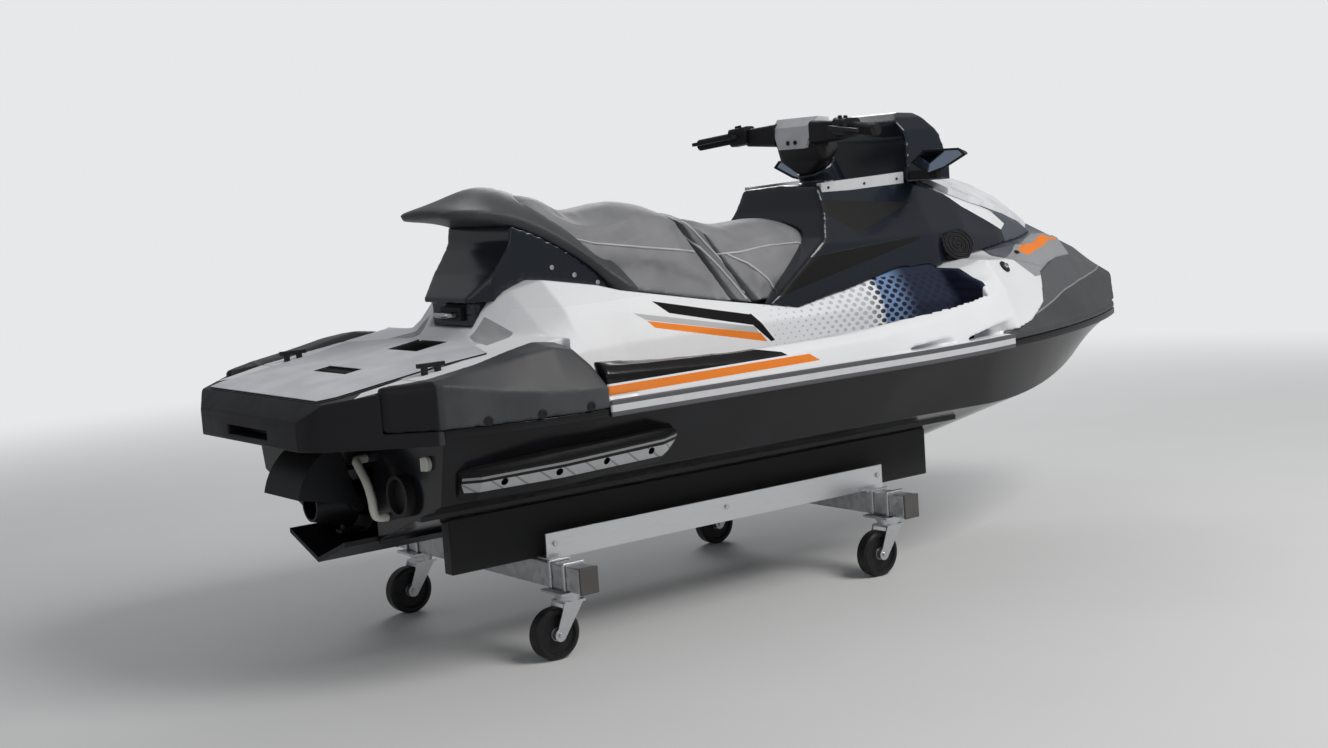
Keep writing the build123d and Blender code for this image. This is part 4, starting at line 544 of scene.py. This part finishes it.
def sponson_paint(name):
    """Black fin whose outer face is painted light grey as a painted sunlit sheen, scored across; the two
    thin ribs above it are painted highlights.
    """
    made = Finish(name, MATT_BLACK, 0.45)
    x, y, z = made.xyz()
    # Outer face: light grey, a painted sunlit sheen on the black fin
    face = wedge(x, z, [(-1.284, 0.470), (-0.760, 0.486), (-0.722, 0.516), (-1.292, 0.492)])
    tone = made.noise(40.0, 3.0)
    light = made.blend(tone, (0.34, 0.35, 0.36), (0.44, 0.45, 0.46))
    groove = ((x + z * 1.4) * (math.tau / 0.062)).sine().fade(0.90, 0.97)
    light = made.blend(groove * 0.7, light, (0.14, 0.14, 0.15))
    for hole_x, hole_z in SPONSON_HOLES:
        across, up = x - hole_x, z - hole_z
        light = made.blend((across * across + up * up) < 0.0085 ** 2, light, BLACK)
    color = made.blend(face, (0.010, 0.010, 0.011), light)
    # Two painted highlight lines along the ribs above the face
    rib_highlight = wedge(x, z, [(-1.292, 0.499), (-0.705, 0.525), (-0.705, 0.531), (-1.292, 0.505)])
    color = made.blend(rib_highlight, color, (0.26, 0.265, 0.27))
    rib_highlight = wedge(x, z, [(-1.26, 0.533), (-0.75, 0.556), (-0.75, 0.559), (-1.26, 0.536)])
    made.set("Base Color", made.blend(rib_highlight, color, (0.10, 0.10, 0.105)))
    made.bump(made.cells(500.0) - groove * 0.5, 0.3, 0.001)
    return made.material


def hook_steel(name):
    """Bright steel; the tow hook's base plate is black."""
    made = Finish(name, (0.62, 0.63, 0.65), 0.22, metallic=1.0)
    x, y, z = made.xyz()
    streak = made.noise(60.0, 4.0)
    base = (x > -0.9995) * (x < -0.95) * (y.size() < 0.06) * (z > 0.80)
    steel = made.blend(streak, (0.52, 0.53, 0.55), (0.68, 0.69, 0.71))
    made.set("Base Color", made.blend(base, steel, MATT_BLACK))
    made.set("Metallic", 1.0 - base)
    made.set("Roughness", streak * 0.15 + base * 0.25 + 0.14)
    return made.material


WHEEL_CENTRES, WHEEL_RADIUS = (0.088, -0.991), 0.0635


def wheel_paint(name):
    """Hard black wheel, with a steel bearing in its hub and a turned face."""
    made = Finish(name, (0.012, 0.012, 0.014), 0.45)
    x, y, z = made.xyz()
    spread = [(x - at) * (x - at) for at in WHEEL_CENTRES]
    radius = (spread[0].lowest(spread[1]) + (z - WHEEL_RADIUS) * (z - WHEEL_RADIUS)).root()
    hub = 1.0 - radius.fade(0.0165, 0.0175)
    rings = (radius * (math.tau / 0.004)).sine() * (radius < 0.048)
    mottle = made.noise(60.0, 4.0)
    rubber = made.blend(mottle, (0.009, 0.009, 0.010), (0.020, 0.020, 0.022))
    made.set("Base Color", made.blend(hub, rubber, (0.42, 0.43, 0.44)))
    made.set("Metallic", hub)
    made.set("Roughness", mottle * 0.15 + 0.35)
    made.bump(rings * 0.3 + mottle * 0.3, 0.2, 0.0006)
    return made.material


def mirror_glass(name):
    # Blue-grey tint on the glass: a painted reflection of the sky
    made = Finish(name, (0.36, 0.43, 0.56), 0.04, metallic=1.0)
    made.set("Roughness", made.noise(4.0, 2.0) * 0.03 + 0.02)
    return made.material


PAINTS = {
    "gelcoat_black": hull_black("hull_black"),
    "gelcoat_white": deck_white("deck_white"),
    "bumper_grey": bumper_grey("bumper_grey"),
    "rail_silver": rail_silver("rail_silver"),
    "seat_dark": vinyl("seat_dark", (0.225, 0.228, 0.238)),
    "seat_light": vinyl("seat_light", (0.165, 0.168, 0.176)),
    "cowl_black": cowl_black("cowl_black"),
    "cowl_white": grained("cowl_white", (0.76, 0.77, 0.80), 0.3, 500.0, 0.08),
    "trim_black": trim_paint("trim_black"),
    "screen": screen_glass("screen"),
    "steel_black": grained("steel_black", (0.018, 0.018, 0.020), 0.4),
    "bar_metal": grained("bar_metal", (0.016, 0.016, 0.018), 0.35),
    "grip_rubber": ribbed("grip_rubber", (0.015, 0.015, 0.017), 1, 0.006),
    "pad_silver": grained("pad_silver", (0.56, 0.57, 0.59), 0.42, 900.0, 0.12),
    "mirror_face": mirror_glass("mirror_face"),
    "mat_grey": mat_foam("mat_grey", (0.60, 0.615, 0.65)),
    "mat_black": mat_foam("mat_black", (0.05, 0.05, 0.055)),
    "accent_orange": nose_paint("nose_paint"),
    "sponson_grey": sponson_paint("sponson_grey"),
    "cast_alloy": metal("cast_alloy", (0.035, 0.036, 0.040), 0.5, (1.0, 1.0, 1.0), 220.0, 0.4),
    "bright_steel": hook_steel("bright_steel"),
    "hose_grey": grained("hose_grey", (0.55, 0.55, 0.50), 0.55),
    "plug_white": grained("plug_white", (0.6, 0.6, 0.54), 0.5),
    "engine_block": grained("engine_block", (0.2, 0.2, 0.21), 0.6, 200.0),
    "galvanised": galvanised("galvanised"),
    # Beam caps: their galvanised grey painted darker, as painted shade
    "cap_black": grained("cap_black", (0.095, 0.093, 0.088), 0.55),
    "carpet_black": carpet("carpet_black"),
    "rail_alloy": metal("rail_alloy", (0.74, 0.75, 0.77), 0.38, (0.03, 1.0, 1.0), 500.0, 0.05),
    "zinc": metal("zinc", (0.62, 0.63, 0.65), 0.32, (1.0, 1.0, 1.0), 90.0, 0.15),
    "wheel_rubber": wheel_paint("wheel_rubber"),
}
SLOT_OF = {row["node"]: row["material_slot"] for row in frame["record"]["subparts"]}


def paint(piece, slot):
    piece.data.materials.clear()
    piece.data.materials.append(PAINTS[slot])


for node_name, node in frame["nodes"].items():
    paint(node, SLOT_OF[node_name])


def pick(piece):
    """Make one piece the selected, active one."""
    bpy.ops.object.select_all(action="DESELECT")
    piece.select_set(True)
    bpy.context.view_layer.objects.active = piece


def apply_modifiers(piece):
    pick(piece)
    for modifier in list(piece.modifiers):
        bpy.ops.object.modifier_apply(modifier=modifier.name)


def settle(piece, node_names, slot=None):
    """Put a finished piece on its body, in place of the CAD nodes it stands for."""
    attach(piece, BODY_OF[node_names[0]])
    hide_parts(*node_names)
    if not piece.data.materials:
        paint(piece, slot or SLOT_OF[node_names[0]])


# A copied CAD shape: distance below which points merge, and angle in degrees below which faces join
MERGE_AT, FLAT_ANGLE = 0.00002, 0.4


def copied(node_name):
    """A CAD node's shape in an object of its own, its loose triangles merged."""
    piece = bpy.data.objects.new(f"{node_name}_shell", frame["nodes"][node_name].data.copy())
    bpy.context.scene.collection.objects.link(piece)
    pick(piece)
    bpy.ops.object.mode_set(mode="EDIT")
    bpy.ops.mesh.select_all(action="SELECT")
    bpy.ops.mesh.remove_doubles(threshold=MERGE_AT)
    bpy.ops.mesh.dissolve_limited(angle_limit=math.radians(FLAT_ANGLE))
    bpy.ops.object.mode_set(mode="OBJECT")
    return piece


def rounded(node_name, width, angle=28.0, segments=2):
    """A CAD node's shape with its edges rounded."""
    piece = copied(node_name)
    edge = piece.modifiers.new("edges", "BEVEL")
    edge.width = width
    edge.segments = segments
    edge.limit_method = "ANGLE"
    edge.angle_limit = math.radians(angle)
    edge.use_clamp_overlap = True
    apply_modifiers(piece)
    bpy.ops.object.shade_smooth_by_angle(angle=math.radians(38.0))
    weigh = piece.modifiers.new("normals", "WEIGHTED_NORMAL")
    weigh.keep_sharp = True
    apply_modifiers(piece)
    settle(piece, [node_name])
    return piece


THINNING = 0.0005  # How far a remeshed flat stretch may stray to save faces


def remesh(piece, voxel, rounds):
    """Even mesh in place of long facets, then relaxed."""
    made = piece.modifiers.new("even", "REMESH")
    made.mode = "VOXEL"
    made.voxel_size = voxel
    made.adaptivity = THINNING
    relax = piece.modifiers.new("relax", "SMOOTH")
    relax.factor = 0.5
    relax.iterations = rounds
    apply_modifiers(piece)


def moulded(node_name, voxel, rounds, keep=1.0):
    """A CAD node's shape as one flowing moulding, its facets smoothed out."""
    piece = copied(node_name)
    remesh(piece, voxel, rounds)
    if keep < 1.0:
        thin = piece.modifiers.new("thin", "DECIMATE")
        thin.ratio = keep
        apply_modifiers(piece)
    pick(piece)
    bpy.ops.object.shade_smooth()
    settle(piece, [node_name])
    return piece


# Seat covers: mesh width, depth drawn in before the air presses, air pressure and frames run
COVER_VOXEL, COVER_DRAWN, COVER_PRESSURE, COVER_FRAMES = 0.006, 0.006, 4.0, 20


def cushion(node_name, cap):
    """A seat's cushion: the foam's form, relaxed and swollen under its cover."""
    piece = copied(node_name)
    remesh(piece, COVER_VOXEL, 10)
    start = [vertex.co.copy() for vertex in piece.data.vertices]
    shrink = piece.modifiers.new("shrink", "DISPLACE")
    shrink.strength = -COVER_DRAWN
    shrink.mid_level = 0.0
    apply_modifiers(piece)
    cloth = piece.modifiers.new("cover", "CLOTH")
    cloth.settings.use_pressure = True
    cloth.settings.uniform_pressure_force = COVER_PRESSURE
    cloth.settings.effector_weights.gravity = 0.0
    for number in range(1, COVER_FRAMES + 1):
        bpy.context.scene.frame_set(number)
    apply_modifiers(piece)
    bpy.context.scene.frame_set(1)
    for vertex, place in zip(piece.data.vertices, start):
        move = vertex.co - place
        if move.length > cap:
            vertex.co = place + move.normalized() * cap
    relax = piece.modifiers.new("relax", "SMOOTH")
    relax.iterations = 6
    apply_modifiers(piece)
    bpy.ops.object.shade_smooth()
    settle(piece, [node_name])
    return piece


def surface(piece):
    """Search tree over a finished piece, to lay details on it."""
    mesh = piece.data
    return BVHTree.FromPolygons(
        [vertex.co for vertex in mesh.vertices], [tuple(face.vertices) for face in mesh.polygons]
    )


def sampled(points, step=0.012):
    """Evenly spaced points along a polyline of tuples."""
    line = [Vector(point) for point in points]
    made = []
    for a, b in zip(line, line[1:]):
        count = max(1, int((b - a).length / step))
        made += [a.lerp(b, index / count) for index in range(count)]
    return made + [line[-1]]


def laid_on(tree, points, toward, lift):
    """Points cast along a direction onto a surface, lifted off it; misses are dropped."""
    made = []
    for point in points:
        hit, normal, *_ = tree.ray_cast(point, Vector(toward))
        if hit:
            made.append(hit + normal * lift)
    return made


def bead(name, points, radius, slot, node_name):
    """Round bead along points, such as piping."""
    if len(points) < 3:
        return None
    curve = bpy.data.curves.new(name, "CURVE")
    curve.dimensions = "3D"
    curve.bevel_depth = radius
    curve.bevel_resolution = 1
    curve.use_fill_caps = True
    spline = curve.splines.new("POLY")
    spline.points.add(len(points) - 1)
    for point, place in zip(spline.points, points):
        point.co = (*place, 1.0)
    piece = bpy.data.objects.new(name, curve)
    bpy.context.scene.collection.objects.link(piece)
    pick(piece)
    bpy.ops.object.convert(target="MESH")
    bpy.ops.object.shade_smooth()
    paint(piece, slot)
    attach(piece, BODY_OF[node_name])
    return piece


def flowing(points, count=8):
    """Smooth run of places through a list of points."""
    line = [Vector(point) for point in points]
    line = [line[0] * 2 - line[1], *line, line[-1] * 2 - line[-2]]
    made = []
    for p0, p1, p2, p3 in zip(line, line[1:], line[2:], line[3:]):
        for index in range(count):
            t = index / count
            made.append(
                0.5 * (p1 * 2 + (p2 - p0) * t + (p0 * 2 - p1 * 5 + p2 * 4 - p3) * t * t
                + (p1 * 3 - p0 - p2 * 3 + p3) * t * t * t)
            )
    return made + [line[-2]]


def cap_screw(name, places, radius, height, slot, node_name):
    """Round-headed screws with a socket, one at each (place, direction)."""
    heads = []
    for place, direction in places:
        bpy.ops.mesh.primitive_cylinder_add(vertices=20, radius=radius, depth=height)
        head = bpy.context.active_object
        bpy.ops.object.mode_set(mode="EDIT")
        bpy.ops.mesh.select_mode(type="FACE")
        bpy.ops.mesh.select_all(action="DESELECT")
        bpy.ops.object.mode_set(mode="OBJECT")
        top = max(head.data.polygons, key=lambda face: face.center.z)
        top.select = True
        bpy.ops.object.mode_set(mode="EDIT")
        bpy.ops.mesh.inset(thickness=radius * 0.2)
        bpy.ops.transform.translate(value=(0.0, 0.0, height * 0.25))
        bpy.ops.mesh.inset(thickness=radius * 0.3)
        bpy.ops.mesh.extrude_region_move(TRANSFORM_OT_translate={"value": (0.0, 0.0, -height * 0.5)})
        bpy.ops.object.mode_set(mode="OBJECT")
        turn = Vector(direction).to_track_quat("Z", "Y").to_matrix().to_4x4()
        head.data.transform(Matrix.Translation(place) @ turn)
        heads.append(head)
    bpy.ops.object.select_all(action="DESELECT")
    for head in heads:
        head.select_set(True)
    bpy.context.view_layer.objects.active = heads[0]
    bpy.ops.object.join()
    piece = bpy.context.active_object
    piece.name = name
    bpy.ops.object.shade_smooth_by_angle(angle=math.radians(35.0))
    paint(piece, slot)
    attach(piece, BODY_OF[node_name])
    return piece


EDGES = {
    "hull": 0.004,
    "front_hatch": 0.003,
    "stern_bumper": 0.012,
    "rub_rails": 0.004,
    "display": 0.002,
    "mirror_housing_left": 0.006,
    "mirror_housing_right": 0.006,
    "console_trims": 0.003,
    "deck_mat": 0.002,
    "sponsons": 0.003,
    "control_pods": 0.004,
    "bar_pad": 0.005,
    "crossbeams": 0.004,
    "beam_caps": 0.003,
    "side_rails": 0.001,
    "bunks": 0.004,
    "beam_straps": 0.002,
    "caster_plates": 0.001,
    "tow_hook": 0.002,
}
for node_name, width in EDGES.items():
    rounded(node_name, width)

# Columns: voxel, relaxing rounds, share of the faces kept
MOULDINGS = {
    "deck": (0.0038, 11, 0.34),
    "bow_bumper": (0.0045, 10, 0.6),
    "console": (0.0035, 30, 0.5),
    "instrument_hood": (0.004, 10, 0.6),
    "grab_cover": (0.005, 8, 1.0),
    "tail_pedestal": (0.004, 9, 0.7),
    "rear_fender_left": (0.005, 8, 0.8),
    "rear_fender_right": (0.005, 8, 0.8),
    "steering_column": (0.004, 4, 1.0),
}
for node_name, settings in MOULDINGS.items():
    moulded(node_name, *settings)

# Cushions, each with the most that its cover may move
SEAT_SWELL = {"rear_seat": 0.012, "seat_band": 0.010, "front_seat": 0.012}
SEATS = {name: cushion(name, cap) for name, cap in SEAT_SWELL.items()}

# Piping: along the cushions' shoulders and beside the band
PIPING = {
    "rear_seat": (
        [
            (-0.790, 1.030), (-0.727, 1.008), (-0.656, 0.986),
            (-0.500, 0.962), (-0.353, 0.942), (-0.300, 0.930),
        ],
    ),
    "seat_band": (
        [(-0.385, 1.030), (-0.330, 0.965), (-0.262, 0.890), (-0.222, 0.835), (-0.200, 0.800)],
        [(-0.345, 1.020), (-0.295, 0.960), (-0.232, 0.890), (-0.196, 0.840), (-0.178, 0.800)],
    ),
    "front_seat": (
        [(-0.270, 0.926), (-0.180, 0.925), (-0.060, 0.935), (0.040, 0.935), (0.110, 0.915)],
        [(-0.225, 0.925), (-0.167, 0.895), (-0.115, 0.845), (-0.085, 0.805)],
    ),
}
PIPING_PAINT = grained("piping", (0.46, 0.465, 0.475), 0.5, 900.0, 0.2)
for node_name, lines in PIPING.items():
    tree = surface(SEATS[node_name])
    for side in (1, -1):
        for number, line in enumerate(lines):
            run = sampled([(x, side * 0.6, z) for x, z in line])
            place = laid_on(tree, run, (0.0, -side, 0.0), 0.0005)
            side_name = "left" if side > 0 else "right"
            piping = bead(f"{node_name}_piping_{number}_{side_name}", place, 0.0034, "seat_light", node_name)
            if piping:
                piping.data.materials[0] = PIPING_PAINT


# Screws, eyes and switches
CAST_FROM = 0.9  # Distance off the middle plane from which flank screws are cast inward


def fastened(name, shell, spots, radius, height, slot, node_name):
    """Screws at (x, z) spots on both flanks of a piece."""
    tree = surface(bpy.data.objects[shell])
    places = []
    for side in (1, -1):
        for x, z in spots:
            hit, normal, *_ = tree.ray_cast(Vector((x, side * CAST_FROM, z)), Vector((0.0, -side, 0.0)))
            if hit:
                places.append((hit + normal * height * 0.3, normal))
    if places:
        cap_screw(name, places, radius, height, slot, node_name)


def studded(name, shell, casts, radius, height, slot, node_name):
    """Screws where rays, given as (start, direction), meet a piece."""
    tree = surface(bpy.data.objects[shell])
    places = []
    for start, toward in casts:
        hit, normal, *_ = tree.ray_cast(Vector(start), Vector(toward))
        if hit:
            places.append((hit + normal * height * 0.3, normal))
    if places:
        cap_screw(name, places, radius, height, slot, node_name)


# Columns: name, node, spots as (x, z), radius, height, paint
TAIL_SPOTS = [(-0.795, 0.936), (-0.735, 0.912), (-0.672, 0.888)]
RAIL_SPOTS = [(0.160, 1.082), (0.300, 1.086), (0.430, 1.092)]
FASTENED = (
    ("tail_screws", "tail_pedestal", TAIL_SPOTS, 0.006, 0.004, "zinc"),
    ("panel_bolts", "deck", [(0.795, 0.846)], 0.009, 0.004, "trim_black"),
    ("rail_screws", "console_trims", RAIL_SPOTS, 0.004, 0.002, "trim_black"),
)
for name, node_name, spots, radius, height, slot in FASTENED:
    shell = f"{node_name}_shell"
    if shell not in bpy.data.objects:
        shell = frame["nodes"][node_name].name
    fastened(name, shell, spots, radius, height, slot, node_name)
for side_name in ("left", "right"):
    fastened(
        f"fender_screws_{side_name}",
        f"rear_fender_{side_name}_shell",
        [(-1.236, 0.631), (-1.110, 0.631), (-0.984, 0.633)],
        0.011,
        0.003,
        "trim_black",
        f"rear_fender_{side_name}",
    )

# Bow eyes, cast back along the way they face
EYE_AT, EYE_OUT = (0.625, 0.385, 0.810), (0.28, 0.74, 0.61)
EYE_CASTS = [
    (
        (
            EYE_AT[0] + EYE_OUT[0] * 0.2,
            side * (EYE_AT[1] + EYE_OUT[1] * 0.2),
            EYE_AT[2] + EYE_OUT[2] * 0.2,
        ),
        (-EYE_OUT[0], -side * EYE_OUT[1], -EYE_OUT[2]),
    )
    for side in (1, -1)
]
studded("bow_eyes", "deck_shell", EYE_CASTS, 0.019, 0.006, "trim_black", "deck")
studded("bow_eye_pins", "deck_shell", EYE_CASTS, 0.008, 0.012, "zinc", "deck")
PAD_CASTS = [((0.0, y, 1.216), (1.0, 0.0, 0.0)) for y in (0.016, -0.016)]
studded("pad_screws", "bar_pad_shell", PAD_CASTS, 0.0065, 0.004, "trim_black", "bar_pad")
BUTTONS = ((0.172, 0.222), (0.176, 0.240), (0.172, -0.222), (0.176, -0.240))
BUTTON_CASTS = [((x, y, 1.5), (0.0, 0.0, -1.0)) for x, y in BUTTONS]
studded("pod_buttons", "control_pods_shell", BUTTON_CASTS, 0.006, 0.006, "trim_black", "control_pods")

# Bailer hose: one soft bend between its fittings
HOSE_X = -1.364
HOSE_LINE = (
    (HOSE_X + 0.034, -0.124, 0.524),
    (HOSE_X + 0.006, -0.128, 0.523),
    (HOSE_X, -0.146, 0.512),
    (HOSE_X, -0.180, 0.478),
    (HOSE_X, -0.200, 0.440),
    (HOSE_X, -0.207, 0.410),
    (HOSE_X + 0.008, -0.208, 0.394),
    (HOSE_X + 0.034, -0.208, 0.390),
)
hose = bead("hose", flowing(HOSE_LINE), 0.0105, SLOT_OF["bailer_hose"], "bailer_hose")
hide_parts("bailer_hose")

# Studio: pale floor that fades into the pale surround, soft lamps
PALE = (0.80, 0.81, 0.82, 1.0)


def make_floor():
    bpy.ops.mesh.primitive_plane_add(size=80.0, location=(0.0, 0.0, 0.0))
    floor = bpy.context.active_object
    floor.name = "floor"
    made = Finish("floor_pale", (0.72, 0.72, 0.71), 0.8)
    made.set("Base Color", made.blend(made.noise(3.0, 3.0), (0.66, 0.665, 0.67), (0.69, 0.695, 0.70)))
    x, y, z = made.xyz()
    far = (x * x + y * y).fade(5.0, 42.0)
    seen = made.node("ShaderNodeLightPath", out=0)
    glow = made.tree.nodes.new("ShaderNodeEmission")
    glow.inputs["Color"].default_value = PALE
    mix = made.tree.nodes.new("ShaderNodeMixShader")
    made.link(far * seen, mix.inputs[0])
    made.tree.links.new(made.shader.outputs[0], mix.inputs[1])
    made.tree.links.new(glow.outputs[0], mix.inputs[2])
    output = made.tree.nodes["Material Output"]
    made.tree.links.new(mix.outputs[0], output.inputs["Surface"])
    floor.data.materials.append(made.material)


def lamp(name, place, target, size, power, color):
    data = bpy.data.lights.new(name, "AREA")
    data.size = size
    data.energy = power
    data.color = color
    made = bpy.data.objects.new(name, data)
    bpy.context.scene.collection.objects.link(made)
    made.location = place
    made.rotation_euler = (Vector(target) - Vector(place)).to_track_quat("-Z", "Y").to_euler()


def make_world():
    world = bpy.data.worlds.new("studio")
    world.use_nodes = True
    tree = world.node_tree
    tree.nodes.clear()
    out = tree.nodes.new("ShaderNodeOutputWorld")
    soft = tree.nodes.new("ShaderNodeBackground")
    soft.inputs["Color"].default_value = (0.95, 0.97, 1.0, 1.0)
    soft.inputs["Strength"].default_value = 0.30
    pale = tree.nodes.new("ShaderNodeBackground")
    pale.inputs["Color"].default_value = PALE
    pale.inputs["Strength"].default_value = 1.0
    rays = tree.nodes.new("ShaderNodeLightPath")
    mix = tree.nodes.new("ShaderNodeMixShader")
    tree.links.new(rays.outputs["Is Camera Ray"], mix.inputs[0])
    tree.links.new(soft.outputs[0], mix.inputs[1])
    tree.links.new(pale.outputs[0], mix.inputs[2])
    tree.links.new(mix.outputs[0], out.inputs["Surface"])
    bpy.context.scene.world = world


make_floor()
make_world()
# Columns: name, place, target, size in metres, power in watts, colour
LAMPS = (
    ("key", (1.5, -4.5, 5.0), (0.0, 0.0, 0.6), 3.0, 280.0, (1.0, 0.98, 0.95)),
    ("fill", (-5.0, -3.0, 2.5), (-0.5, 0.0, 0.6), 3.0, 18.0, (1.0, 1.0, 1.0)),
    ("rim", (3.2, 4.6, 3.6), (0.0, 0.0, 0.8), 3.0, 110.0, (1.0, 1.0, 1.0)),
)
for settings in LAMPS:
    lamp(*settings)
